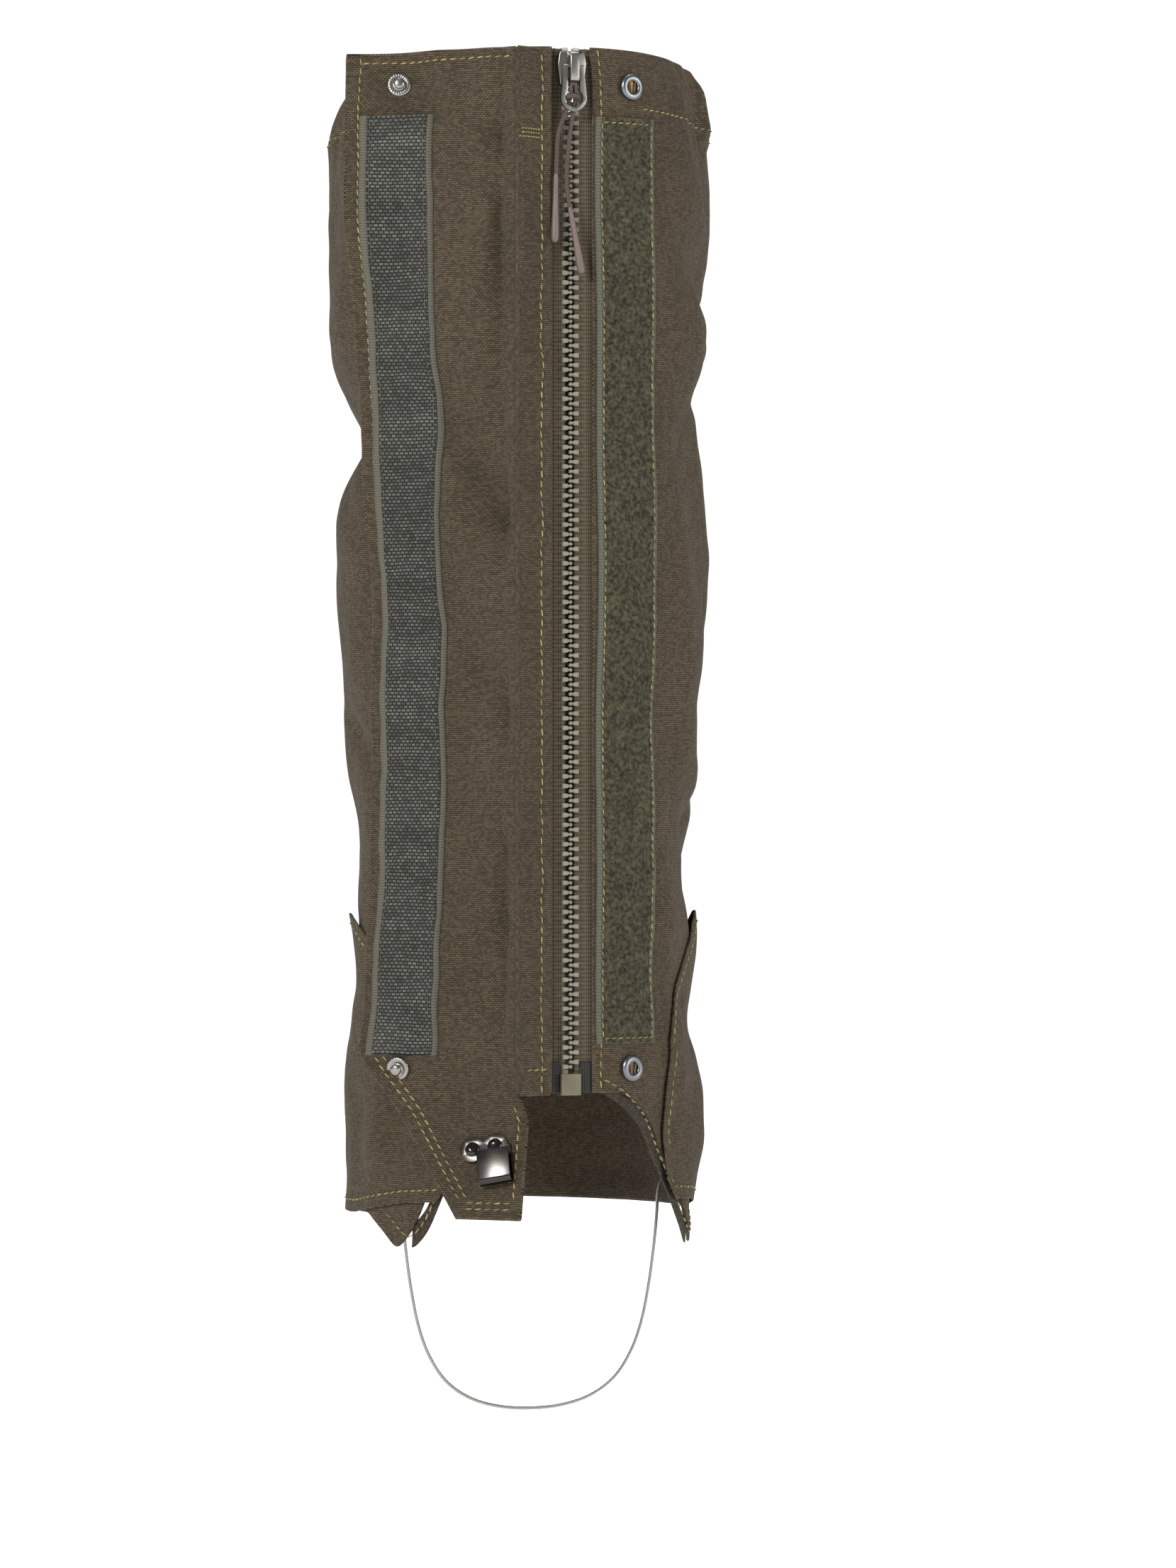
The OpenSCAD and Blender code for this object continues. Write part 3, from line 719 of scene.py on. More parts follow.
@dataclass(frozen=True)
class Twill:
    """Coated polyester twill: short floats of two yarns in staggered rows, dulled by a coating.

    The eye gets a fine speckle in rows, a soft cloudy change of shade where the coating is worn, and
    almost no gloss. Floats are drawn half as long again as the real 0.9 mm, so that they show.
    """

    name: str
    dark: str
    light: str
    float_mm: float = 1.4
    row_mm: float = 0.8
    cloud: float = 0.45
    roughness: float = 0.85

    def build(self) -> bpy.types.Material:
        """Returns the material. Its UV is in metres along and up the cloth.

        Returns:
            The material.
        """
        material, tree, shader = blank(self.name, self.roughness)
        shader.inputs["Sheen Weight"].default_value = 0.04
        shader.inputs["Sheen Roughness"].default_value = 0.5
        shader.inputs["Specular IOR Level"].default_value = 0.18
        uv = add(tree, "UVMap", uv_map="UVMap")
        wander = add(tree, "TexNoise", {"Vector": uv, "Scale": 300.0, "Detail": 1.0}, 1)
        shifted = add(tree, "VectorMath", (wander, (0.0003, 0.0001, 0.0), uv), operation="MULTIPLY_ADD")
        weave = {
            "Vector": add(tree, "Mapping", {"Vector": shifted, "Scale": (1000.0, 1000.0, 1.0)}),
            "Color1": linear(self.dark),
            "Color2": linear(self.light),
            "Mortar": (0.006, 0.005, 0.003, 1.0),
            "Scale": 1.0,
            "Mortar Size": 0.16,
            "Mortar Smooth": 1.0,
            "Bias": 0.0,
            "Brick Width": self.float_mm,
            "Row Height": self.row_mm,
        }
        rows = add(tree, "TexBrick", weave, offset=0.5)
        joints = rows.node.outputs[1]
        wide = add(tree, "Mapping", {"Vector": uv, "Scale": (26.0, 15.0, 1.0)})
        cloud = add(tree, "TexNoise", {"Vector": wide, "Scale": 1.0, "Detail": 5.0})
        close = add(tree, "Mapping", {"Vector": uv, "Scale": (500.0, 900.0, 1.0)})
        fleck = add(tree, "TexNoise", {"Vector": close, "Scale": 1.0, "Detail": 2.0})
        tone = add(tree, "Math", (cloud, self.cloud, 1.0 - self.cloud / 2), operation="MULTIPLY_ADD")
        grain = add(tree, "Math", (fleck, 0.4, 0.82), operation="MULTIPLY_ADD")
        shade = add(tree, "Math", (tone, grain), operation="MULTIPLY")
        grey = add(tree, "CombineColor", (shade, shade, shade))
        both = {0: 1.0, 6: rows, 7: grey}
        colour = add(tree, "Mix", both, 2, data_type="RGBA", blend_type="MULTIPLY")
        tree.links.new(colour, shader.inputs["Base Color"])
        loose = add(tree, "Mapping", {"Vector": uv, "Scale": (62.0, 30.0, 1.0)})
        crumple = add(tree, "TexNoise", {"Vector": loose, "Scale": 1.0, "Detail": 3.0})
        bumped(tree, shader, [(crumple, 2.6), (joints, -0.1), (fleck, 0.08)])
        return material


@dataclass(frozen=True)
class Ribbed:
    """Woven narrow tape: ribs across or along it, with a second set of fine threads."""

    name: str
    dark: str
    light: str
    along_mm: float
    up_mm: float
    roughness: float = 0.8
    depth: float = 0.16
    sheen: float = 0.04

    def build(self) -> bpy.types.Material:
        """Returns the material. Heights are products of sines with the two pitches.

        Returns:
            The material.
        """
        material, tree, shader = blank(self.name, self.roughness)
        shader.inputs["Sheen Weight"].default_value = self.sheen
        shader.inputs["Specular IOR Level"].default_value = 0.3
        uv = add(tree, "UVMap", uv_map="UVMap")
        rates = (2000 * math.pi / self.along_mm, 2000 * math.pi / self.up_mm, 1.0)
        turns = add(tree, "VectorMath", (uv, rates), operation="MULTIPLY")
        waves = add(tree, "VectorMath", (turns,), operation="SINE")
        along = add(tree, "SeparateXYZ", (waves,))
        both = add(tree, "Math", (along, along.node.outputs[1]), operation="ADD")
        share = add(tree, "Math", (both, 0.25, 0.5), operation="MULTIPLY_ADD")
        fleck = add(tree, "TexNoise", {"Vector": uv, "Scale": 900.0, "Detail": 2.0})
        lower = add(tree, "Math", (share, 0.25), operation="SUBTRACT")
        blend = add(tree, "Math", (fleck, 0.5, lower), operation="MULTIPLY_ADD")
        pair = {0: blend, 6: linear(self.dark), 7: linear(self.light)}
        tree.links.new(add(tree, "Mix", pair, 2, data_type="RGBA"), shader.inputs["Base Color"])
        bumped(tree, shader, [(share, self.depth), (fleck, 0.08)])
        return material


@dataclass(frozen=True)
class HookFace:
    """Moulded nylon hooks in staggered rows on a woven ground: dark between, pale where hooks catch light."""

    name: str
    dark: str
    light: str
    pitch_mm: float = 1.9
    row_mm: float = 1.35

    def build(self) -> bpy.types.Material:
        """Returns the material. Rows of hooks are staggered bricks, and wide soft bands cross the tape.

        Returns:
            The material.
        """
        material, tree, shader = blank(self.name, 0.6)
        shader.inputs["Specular IOR Level"].default_value = 0.25
        uv = add(tree, "UVMap", uv_map="UVMap")
        rows = {
            "Vector": add(tree, "Mapping", {"Vector": uv, "Scale": (1000.0, 1000.0, 1.0)}),
            "Color1": linear(self.light),
            "Color2": linear(self.dark),
            "Mortar": (0.006, 0.007, 0.006, 1.0),
            "Scale": 1.0,
            "Mortar Size": 0.3,
            "Mortar Smooth": 0.4,
            "Bias": -0.1,
            "Brick Width": self.pitch_mm,
            "Row Height": self.row_mm,
        }
        hooks = add(tree, "TexBrick", rows, offset=0.5)
        across = add(tree, "Mapping", {"Vector": uv, "Scale": (5.0, 110.0, 1.0)})
        bands = add(tree, "TexNoise", {"Vector": across, "Scale": 1.0, "Detail": 3.0})
        tone = add(tree, "Math", (bands, 1.3, 0.35), operation="MULTIPLY_ADD")
        grey = add(tree, "CombineColor", (tone, tone, tone))
        both = {0: 1.0, 6: hooks, 7: grey}
        colour = add(tree, "Mix", both, 2, data_type="RGBA", blend_type="MULTIPLY")
        tree.links.new(colour, shader.inputs["Base Color"])
        bumped(tree, shader, [(hooks.node.outputs[1], -0.4)])
        return material


@dataclass(frozen=True)
class Pile:
    """Brushed nylon loops: soft tufts in two shades, with no gloss."""

    name: str
    dark: str
    light: str

    def build(self) -> bpy.types.Material:
        """Returns the material. A strand's own UV sets its shade, and tufts add patches.

        Returns:
            The material.
        """
        material, tree, shader = blank(self.name, 0.9)
        shader.inputs["Sheen Weight"].default_value = 0.12
        shader.inputs["Specular IOR Level"].default_value = 0.2
        uv = add(tree, "UVMap", uv_map="UVMap")
        own = add(tree, "TexWhiteNoise", {"Vector": uv}, noise_dimensions="2D")
        place = add(tree, "TexCoord", out=3)
        tuft = add(tree, "TexNoise", {"Vector": place, "Scale": 640.0, "Detail": 3.0})
        patch = add(tree, "Math", (tuft, 2.4, -0.95), operation="MULTIPLY_ADD")
        share = add(tree, "Math", (own, 0.4, patch), operation="MULTIPLY_ADD")
        pair = {0: share, 6: linear(self.dark), 7: linear(self.light)}
        tree.links.new(add(tree, "Mix", pair, 2, data_type="RGBA"), shader.inputs["Base Color"])
        return material


@dataclass(frozen=True)
class Thread:
    """Twisted polyester sewing thread: pale, with a slight gloss."""

    name: str
    dark: str
    light: str

    def build(self) -> bpy.types.Material:
        """Returns the material. Each stitch takes its own shade between the two.

        Returns:
            The material.
        """
        material, tree, shader = blank(self.name, 0.55)
        uv = add(tree, "UVMap", uv_map="UVMap")
        own = add(tree, "TexWhiteNoise", {"Vector": uv}, noise_dimensions="2D")
        pair = {0: own, 6: linear(self.dark), 7: linear(self.light)}
        tree.links.new(add(tree, "Mix", pair, 2, data_type="RGBA"), shader.inputs["Base Color"])
        return material


@dataclass(frozen=True)
class Moulded:
    """Injection-moulded plastic or rubber: even colour, a faint orange-peel skin and soft wear."""

    name: str
    colour: str
    worn: str
    roughness: float
    ior: float = 1.48
    skin: float = 0.02

    def build(self) -> bpy.types.Material:
        """Returns the material.

        Returns:
            The material.
        """
        material, tree, shader = blank(self.name, self.roughness)
        shader.inputs["IOR"].default_value = self.ior
        place = add(tree, "TexCoord", out=3)
        wear = add(tree, "TexNoise", {"Vector": place, "Scale": 160.0, "Detail": 4.0})
        fine = add(tree, "TexNoise", {"Vector": place, "Scale": 2400.0, "Detail": 2.0})
        pair = {0: wear, 6: linear(self.colour), 7: linear(self.worn)}
        tree.links.new(add(tree, "Mix", pair, 2, data_type="RGBA"), shader.inputs["Base Color"])
        rough = add(tree, "Math", (wear, 0.2, self.roughness - 0.1), operation="MULTIPLY_ADD")
        tree.links.new(rough, shader.inputs["Roughness"])
        bumped(tree, shader, [(fine, self.skin)])
        return material


@dataclass(frozen=True)
class Plated:
    """Plated metal: polished and then handled, with fine scratches in its gloss."""

    name: str
    colour: str
    roughness: float
    scratch: float = 0.14

    def build(self) -> bpy.types.Material:
        """Returns the material.

        Returns:
            The material.
        """
        material, tree, shader = blank(self.name, self.roughness, 1.0)
        shader.inputs["Base Color"].default_value = linear(self.colour)
        place = add(tree, "TexCoord", out=3)
        drawn = add(tree, "Mapping", {"Vector": place, "Scale": (300.0, 900.0, 3500.0)})
        lines = add(tree, "TexNoise", {"Vector": drawn, "Scale": 1.0, "Detail": 3.0})
        cloud = add(tree, "TexNoise", {"Vector": place, "Scale": 260.0, "Detail": 3.0})
        both = add(tree, "Math", (lines, cloud), operation="ADD")
        steps = (both, self.scratch, self.roughness - self.scratch)
        rough = add(tree, "Math", steps, operation="MULTIPLY_ADD")
        tree.links.new(rough, shader.inputs["Roughness"])
        bumped(tree, shader, [(lines, 0.006)])
        return material


@dataclass(frozen=True)
class Braid:
    """Braided round cord: dark brown strands that cross along the cord, with painted highlight as pale flecks
    on their crowns and painted shade in the hollows between.
    """

    name: str
    dark: str
    light: str
    pitch_mm: float

    def build(self) -> bpy.types.Material:
        """Returns the material. Two sets of slanting strands cross: sin(a(u + v)) times sin(a(u - v)).

        Returns:
            The material.
        """
        material, tree, shader = blank(self.name, 0.7)
        rate = 2000 * math.pi / self.pitch_mm
        uv = add(tree, "UVMap", uv_map="UVMap")
        along = add(tree, "SeparateXYZ", (uv,))
        up = along.node.outputs[1]
        waves = []
        for way in (rate, -rate):
            part = add(tree, "Math", (along, rate), operation="MULTIPLY")
            turn = add(tree, "Math", (up, way, part), operation="MULTIPLY_ADD")
            waves.append(add(tree, "Math", (turn,), operation="SINE"))
        crossing = add(tree, "Math", waves, operation="MULTIPLY")
        # the colour follows the strands' height: pale crowns are painted highlight, dark hollows painted
        # shade
        share = add(tree, "Math", (crossing, 0.6, 0.35), operation="MULTIPLY_ADD")
        pair = {0: share, 6: linear(self.dark), 7: linear(self.light)}
        tree.links.new(add(tree, "Mix", pair, 2, data_type="RGBA"), shader.inputs["Base Color"])
        bumped(tree, shader, [(crossing, 0.15)])
        return material


class Palette:
    """Every finish of the gaiter, built once."""

    def __init__(self) -> None:
        """Builds the materials."""
        self.body = Twill("coated_twill_body", "#3d3427", "#554a39").build()
        self.flap = Twill("coated_twill_flap", "#3b3327", "#534838").build()
        self.guard = Twill("coated_twill_guard", "#3e3528", "#554938").build()
        self.inside = Twill("coated_twill_inside", "#2f2a21", "#484033", roughness=0.75).build()
        self.zip_tape = Ribbed("woven_zip_tape", "#2a251b", "#574e3b", 1.0, 1.6).build()
        self.selvedge = Ribbed("hook_tape_selvedge", "#2f2d27", "#5a574c", 6.0, 1.1).build()
        self.loop_edge = Ribbed("loop_tape_selvedge", "#34342d", "#56564b", 5.0, 1.3).build()
        self.webbing = Ribbed("woven_webbing", "#20231e", "#3a3e35", 1.6, 1.3).build()
        self.elastic = Ribbed("woven_elastic", "#24221f", "#3d3a36", 2.2, 1.2).build()
        self.film = Ribbed("woven_end_film", "#0a0a09", "#1d1c1a", 1.0, 1.0, 0.5).build()
        self.hooks = HookFace("moulded_nylon_hooks", "#2f302a", "#55564c").build()
        self.pile = Pile("brushed_nylon_loops", "#16150e", "#4e4a36").build()
        self.thread = Thread("polyester_thread_olive", "#5e582f", "#968d4e").build()
        self.dark_thread = Thread("polyester_thread_dark", "#1f211c", "#4c4d42").build()
        self.teeth = Moulded("moulded_acetal", "#67645a", "#7f7c70", 0.3).build()
        self.box = Moulded("moulded_acetal_box", "#514c3a", "#625d4b", 0.4).build()
        self.stop = Moulded("moulded_clear_nylon", "#9a9892", "#b5b3ae", 0.4, 1.5).build()
        self.rubber = Moulded("moulded_soft_rubber", "#4d403e", "#6a5b57", 0.5, 1.5).build()
        self.nickel = Plated("nickel_plate", "#8d8a85", 0.32).build()
        self.satin = Plated("satin_nickel_plate", "#6f7174", 0.36).build()
        self.dark_nickel = Plated("black_nickel_plate", "#3f3c3a", 0.2, 0.08).build()
        self.brass = Plated("brass_spring", "#5f4b25", 0.4).build()
        self.steel = Plated("galvanised_steel_strand", "#a9a9a6", 0.34).build()
        # the cord is dark brown; its pale colour is painted highlight on the strands' crowns
        self.cord = Braid("braided_polyester_cord", "#241c18", "#6d5b50", 1.3).build()


# ---------------------------------------------------------------- the two surfaces

HALF_WIDTHS = [
    (-20, 69), (0, 68), (60, 66.5), (116, 65), (165, 67), (200, 71), (257, 75), (314, 71.5),
    (350, 73.5), (407, 76.4), (470, 76.4),
]
HALF_DEPTHS = [
    (-20, 80), (0, 79), (60, 74), (116, 69), (165, 69), (200, 72), (257, 75), (350, 75), (470, 76),
]
PINCH_SHARES = [(0, 1), (0.18, 0.66), (0.36, 0.4), (0.64, 0.15), (1, 0)]
CASING = 22.0


@dataclass
class SleeveSurface:
    """The sleeve's cloth: t degrees round from the zip towards +X, z above the hem, off outwards.

    Seen from above, a section is an oval, x = (half width + off) sin t and
    y = half depth - 72 - (half depth + off) cos t. The folds are added to off.
    """

    folds: tuple[Fold, ...] = (
        Fold((140, 343), (60, 380), 5.6, 9.5),
        Fold((128, 342), (72, 318), 3.6, 8.0),
        Fold((122, 372), (96, 336), -2.4, 11.0),
        Fold((96, 395), (66, 424), 2.0, 7.0),
        Fold((112, 128), (70, 166), 3.4, 8.0),
        Fold((116, 176), (76, 152), 2.2, 7.0),
        Fold((92, 232), (64, 262), 1.3, 10.0),
        Fold((-172, 296), (-84, 322), 9.0, 17.0),
        Fold((-150, 330), (-90, 372), -2.6, 14.0),
        Fold((-118, 292), (-78, 258), 2.4, 8.5),
        Fold((-150, 238), (-92, 252), -2.2, 16.0),
        Fold((-122, 196), (-84, 168), 3.6, 9.0),
        Fold((-100, 430), (-72, 396), 2.2, 8.0),
        Fold((-90, 60), (-74, 8), 2.6, 7.0),
        Fold((-112, 44), (-98, -8), 2.2, 8.0),
        Fold((104, 96), (96, 66), 2.8, 9.0),
        Fold((96, 62), (94, 8), -3.6, 16.0),
        Fold((190, 300), (130, 344), 3.4, 11.0),
        Fold((160, 170), (222, 140), 3.6, 9.0),
        Fold((-196, 262), (-140, 214), 3.2, 11.0),
        Fold((-150, 384), (-212, 350), 2.8, 10.0),
        Fold((226, 232), (164, 206), 2.6, 10.0),
        Fold((-224, 118), (-160, 150), 3.2, 8.0),
    )

    def relief(self, t: Points, z: Points) -> Points:
        """Folds, broad waves and puckers, outwards in millimetres.

        All of it fades to nothing near the zip, and the stiff loop tape lets little of it through. The
        elastic in the casing gathers the cloth above its seam into short upright ripples.

        Args:
            t: angles in degrees.
            z: heights.

        Returns:
            Millimetres outwards.
        """
        angle = wrapped(t)
        u = angle * ARC_PER_DEGREE
        side = np.abs(u)
        free = smooth_step(side, 20.0, 52.0)
        top = smooth_step(RIM - z, 2.0, 16.0)
        total = sum(f.height(u, z) for f in self.folds) * top
        # waves use the sine and cosine of the angle, so that they close round the back
        ring_x, ring_y = 72 * np.sin(np.radians(angle)), 72 * np.cos(np.radians(angle))
        total = total + top * 1.2 * ripple(ring_x + 0.4 * ring_y, z, 11, 95.0)
        total = total + top * 1.2 * ripple(ring_y - 0.7 * ring_x, z + 0.5 * ring_x, 23, 46.0, 1.3)
        total = total + top * 0.22 * ripple(ring_x * 1.2 - ring_y, z, 37, 17.0, 1.4)
        down = self.rim(t) - z
        gather = np.exp(-(((down - CASING) / 7.0) ** 2)) + 0.9 * np.exp(-(((down - 8.0) / 10.0) ** 2))
        gathers = smooth_step(side, 44.0, 66.0) * gather
        total = total + gathers * 1.7 * (ripple(angle * 1.9, z * 0.12, 5, 16.0, 1.0, 9) - 0.3)
        low = np.exp(-((z / 9.0) ** 2)) * smooth_step(side, 60.0, 74.0)
        total = total + low * 0.8 * ripple(angle * 1.2, z * 0.2, 8, 19.0)
        seam = np.exp(-(((side - 14.5) / 4.5) ** 2)) * 0.3 * ripple(side * 0.2, z, 41, 11.0)
        # behind the open flap the cloth is pressed in
        pressed = np.exp(-(((u + 56.0) / 25.0) ** 2)) * smooth_step(z, 8.0, 70.0)
        pressed = pressed * (1 - smooth_step(z, 330.0, 440.0))
        return total * free - 14.0 * pressed + seam * (1 - smooth_step(z, 430.0, 450.0))

    @staticmethod
    def rim(t: Points) -> Points:
        """Height of the rim: highest at the zip and 16 mm lower at the back."""
        return RIM - 16.0 * (1 - np.cos(np.radians(t))) / 2

    def section(self, t: Points, z: Points) -> tuple[Points, Points]:
        """Half width and half depth at a height, pulled in near the rim by the elastic.

        Args:
            t: angles in degrees.
            z: heights.

        Returns:
            Half width and half depth.
        """
        pinch = 10.0 * soft_lookup((self.rim(t) - z) / CASING, PINCH_SHARES, 0.1)
        wide = soft_lookup(z, HALF_WIDTHS, 20.0) - pinch
        deep = soft_lookup(z, HALF_DEPTHS, 20.0) - 0.6 * pinch
        return wide, deep

    def at(self, t: Points, z: Points, off: Points | float = 0.0) -> Points:
        """Points on the sleeve, off millimetres outside its cloth.

        Args:
            t: angles in degrees from the zip.
            z: heights.
            off: distance outside the cloth.

        Returns:
            Points in millimetres.
        """
        t, z = np.broadcast_arrays(np.asarray(t, float), np.asarray(z, float))
        wide, deep = self.section(t, z)
        out = off + self.relief(t, z)
        a = np.radians(t)
        y = deep - FRONT_DEPTH - (deep + out) * np.cos(a)
        return np.stack([(wide + out) * np.sin(a), y, z], -1)

    def angle_at(self, x: Points, z: Points) -> Points:
        """Angle in degrees at which the sleeve is x to the side of the zip."""
        x, z = np.broadcast_arrays(np.asarray(x, float), np.asarray(z, float))
        return np.degrees(np.arcsin(x / soft_lookup(z, HALF_WIDTHS, 20.0)))

    @staticmethod
    def hem(t: Points) -> Points:
        """Lower edge: the arch over the laces, the hanging corner and the level hem."""
        side = np.abs(wrapped(t))
        return soft_lookup(
            side,
            [(0, 49), (12, 49), (20, 44), (30, 34), (40, 17.6), (50, -6.3), (56, -14), (63, -7.7), (72, 0)],
            3.0,
        )


@dataclass
class FlapSurface:
    """The open storm flap: s across it from the crease, z above the hem, off out of its inner face.

    In its own frame x runs from the crease and y points out of the inner face. The middle of the cloth
    is y = 220 - root(220^2 - s^2) + kick + folds, and the whole row at a height is swung back about
    the crease by a small angle that changes with the height, so that the flap hangs in an S.
    """

    swing_table: tuple[tuple[float, float], ...] = (
        (0, 3), (40, 4), (66, 9), (109, 16), (170, 20), (238, 20), (300, 15), (355, 7), (400, 1),
        (440, 0), (470, 0),
    )
    folds: tuple[Fold, ...] = (
        Fold((2, 420), (58, 452), 4.2, 9.0),
        Fold((8, 446), (44, 464), -1.6, 8.0),
        Fold((8, 400), (9, 300), 1.8, 5.5),
        Fold((4, 268), (34, 322), 4.2, 8.0),
        Fold((10, 250), (36, 286), -2.0, 9.0),
        Fold((30, 388), (12, 352), -1.6, 12.0),
        Fold((3, 190), (24, 238), 2.2, 8.0),
        Fold((5, 150), (7, 70), 2.0, 5.0),
        Fold((4, 120), (26, 88), 2.0, 8.0),
        Fold((4, 56), (44, 44), 1.8, 8.0),
        Fold((20, 78), (50, 84), -1.0, 9.0),
    )

    def relief(self, s: Points, z: Points) -> Points:
        """Folds and waves, out of the inner face in millimetres. They fade at the crease and the hems.

        Args:
            s: reach from the crease.
            z: heights.

        Returns:
            Millimetres out of the inner face.
        """
        inside = smooth_step(s, 0.5, 9.0)
        total = sum(f.height(s, z) for f in self.folds)
        total = total + 1.0 * ripple(s, z, 61, 62.0) + 0.14 * ripple(s, z, 67, 15.0)
        total = total - 1.5 * np.exp(-(((s - 6.0) / 4.0) ** 2)) * smooth_step(z, 44.0, 70.0)
        # flat where the shut flap lies over the slider and its pull
        total = total * (1 - np.exp(-(((s - 22.0) / 12.0) ** 2)) * smooth_step(z, 400.0, 428.0))
        pucker = np.exp(-(((s - (FLAP_WIDTH - 4.0)) / 4.0) ** 2)) * 0.22 * ripple(s, z, 71, 12.0)
        return 1.4 * total * inside * smooth_step(z, 30.0, 62.0) + pucker * smooth_step(z, 66.0, 90.0)

    @staticmethod
    def kick(z: Points) -> Points:
        """How far the tip kicks forward: a flat slope up to 38 mm, eased to nothing at 46 mm."""
        return 16.0 * soft_lookup(z, [(-16, 1.308), (38, 0.075), (42, 0.022), (46, 0), (60, 0)], 1.6)

    def middle(self, s: Points, z: Points) -> Points:
        """Points in the middle of the cloth.

        Args:
            s: reach from the crease.
            z: heights.

        Returns:
            Points in millimetres.
        """
        s, z = np.broadcast_arrays(np.asarray(s, float), np.asarray(z, float))
        y = FLAP_CURVE - np.sqrt(FLAP_CURVE**2 - s**2) + self.kick(z) + self.relief(s, z)
        turn = np.radians(FLAP_DIRECTION - soft_lookup(z, self.swing_table, 26.0))
        x = CREASE[0] + s * np.cos(turn) - y * np.sin(turn)
        return np.stack([x, CREASE[1] + s * np.sin(turn) + y * np.cos(turn), z], -1)

    def normal(self, s: Points, z: Points) -> Points:
        """Unit normal out of the inner face, from the surface's two slopes over a millimetre.

        Args:
            s: reach from the crease.
            z: heights.

        Returns:
            One unit vector for each.
        """
        s, z = np.broadcast_arrays(np.asarray(s, float), np.asarray(z, float))
        across = self.middle(s + 0.5, z) - self.middle(s - 0.5, z)
        up = self.middle(s, z + 0.5) - self.middle(s, z - 0.5)
        return unit(np.cross(up, across))

    def at(self, s: Points, z: Points, off: Points | float = 0.0) -> Points:
        """Points off millimetres out of the middle of the cloth."""
        return self.middle(s, z) + np.asarray(off)[..., None] * self.normal(s, z)

    @staticmethod
    def edges(z: Points) -> tuple[Points, Points]:
        """Reach of the crease side and of the free side at a height.

        Args:
            z: heights.

        Returns:
            The two reaches.
        """
        low = np.interp(z, [1, 38, 46, 49], [-8, -5, -1.5, 0.9])
        high = soft_lookup(z, [(-10, 10.9), (1, 19), (65, 66), (459, 68)], 2.0)
        return low, high


SLEEVE = SleeveSurface()
FLAP = FlapSurface()


def sleeve_normal(t: Points, z: Points) -> Points:
    """Unit normal out of the sleeve, from its slopes over half a degree and a millimetre.

    Args:
        t: angles in degrees.
        z: heights.

    Returns:
        One unit vector for each.
    """
    across = SLEEVE.at(t + 0.25, z) - SLEEVE.at(t - 0.25, z)
    up = SLEEVE.at(t, z + 0.5) - SLEEVE.at(t, z - 0.5)
    return unit(np.cross(across, up))


def sleeve_slab(
    name: str, t: Points, z: Points, outer: Points | float, inner: Points | float
) -> bpy.types.Object:
    """A thin closed sheet on the sleeve between two distances off its cloth.

    Args:
        name: name of the piece.
        t: angles in degrees.
        z: heights.
        outer: distance of the outer face outside the cloth.
        inner: the same for the inner face.

    Returns:
        The new object.
    """
    uv = np.stack(np.broadcast_arrays(t * ARC_PER_DEGREE, z), -1)
    return slab(name, SLEEVE.at(t, z, outer), SLEEVE.at(t, z, inner), uv)


# ---------------------------------------------------------------- stitches


class Stitches:
    """Rows of lockstitch, gathered for one piece: each stitch is a small lens that dips at its ends."""

    LENGTH = 2.9
    PITCH = 3.9

    def __init__(self, width: float = 0.62) -> None:
        """Starts with no rows.

        Args:
            width: width of a stitch, in millimetres.
        """
        self.width = width
        self.places: list[Points] = []
        self.axes: list[Points] = []

    def row(self, line: Points, normal: Points, pitch: float = PITCH, slant: float = 9.0) -> "Stitches":
        """Adds a row along a line.

        Stitches sit pitch apart along the line's length, turned a little about the normal.

        Args:
            line: points along the row, on the cloth.
            normal: the cloth's normal at each.
            pitch: distance from stitch to stitch, in millimetres.
            slant: turn of a stitch away from the row, in degrees.

        Returns:
            The same object, so that rows can be chained.
        """
        run = run_along(line)
        stops = np.arange(pitch / 2, run[-1], pitch)
        place = points_at(stops, run, line)
        up = unit(points_at(stops, run, normal))
        ahead = points_at(stops + 0.5, run, line)
        behind = points_at(stops - 0.5, run, line)
        forward = unit(ahead - behind)
        side = unit(np.cross(up, forward))
        turn = math.radians(slant)
        forward, side = (
            forward * math.cos(turn) + side * math.sin(turn),
            side * math.cos(turn) - forward * math.sin(turn),
        )
        length = self.LENGTH * pitch / self.PITCH
        self.places.append(place)
        self.axes.append(np.stack([forward * length / 2, side * self.width / 2, up * 0.34], 1))
        return self

    def build(self, name: str, body: Body, slot: str, material: bpy.types.Material) -> bpy.types.Object:
        """Writes all rows into one piece: every stitch is a 6-sided lens with a pole at each end.

        Args:
            name: name of the piece.
            body: the body that it rides on.
            slot: not used.
            material: the thread.

        Returns:
            The new object.
        """
        rings = np.array([-0.72, -0.3, 0.3, 0.72])
        turn = 2 * math.pi * np.arange(6) / 6
        fat = np.sqrt(1 - rings**2)[:, None]
        x, y, z = np.broadcast_arrays(rings[:, None], fat * np.cos(turn), fat * np.sin(turn))
        shape = np.concatenate([np.stack([x, y, z], -1).reshape(-1, 3), [[-1, 0, 0], [1, 0, 0]]])
        faces = grid_faces(4, 6, closed=True).tolist()
        faces += [[24, (k + 1) % 6, k] for k in range(6)]
        faces += [[25, 18 + k, 18 + (k + 1) % 6] for k in range(6)]
        faces = [face[::-1] for face in faces]
        places = np.concatenate(self.places)
        own = np.stack([np.arange(len(places)) * 7.3, np.arange(len(places)) * 3.1], -1)
        obj = scatter(name, shape, faces, places, np.concatenate(self.axes), own)
        return dress(obj, body, material)


def sleeve_row(t: Points, z: Points, off: float) -> tuple[Points, Points]:
    """Line and normals for a row of stitches on the sleeve."""
    t, z = np.broadcast_arrays(np.asarray(t, float), np.asarray(z, float))
    return SLEEVE.at(t, z, off), sleeve_normal(t, z)


def flap_row(s: Points, z: Points, off: float) -> tuple[Points, Points]:
    """Line and normals for a row of stitches on the flap's inner face."""
    s, z = np.broadcast_arrays(np.asarray(s, float), np.asarray(z, float))
    return FLAP.at(s, z, off), FLAP.normal(s, z)


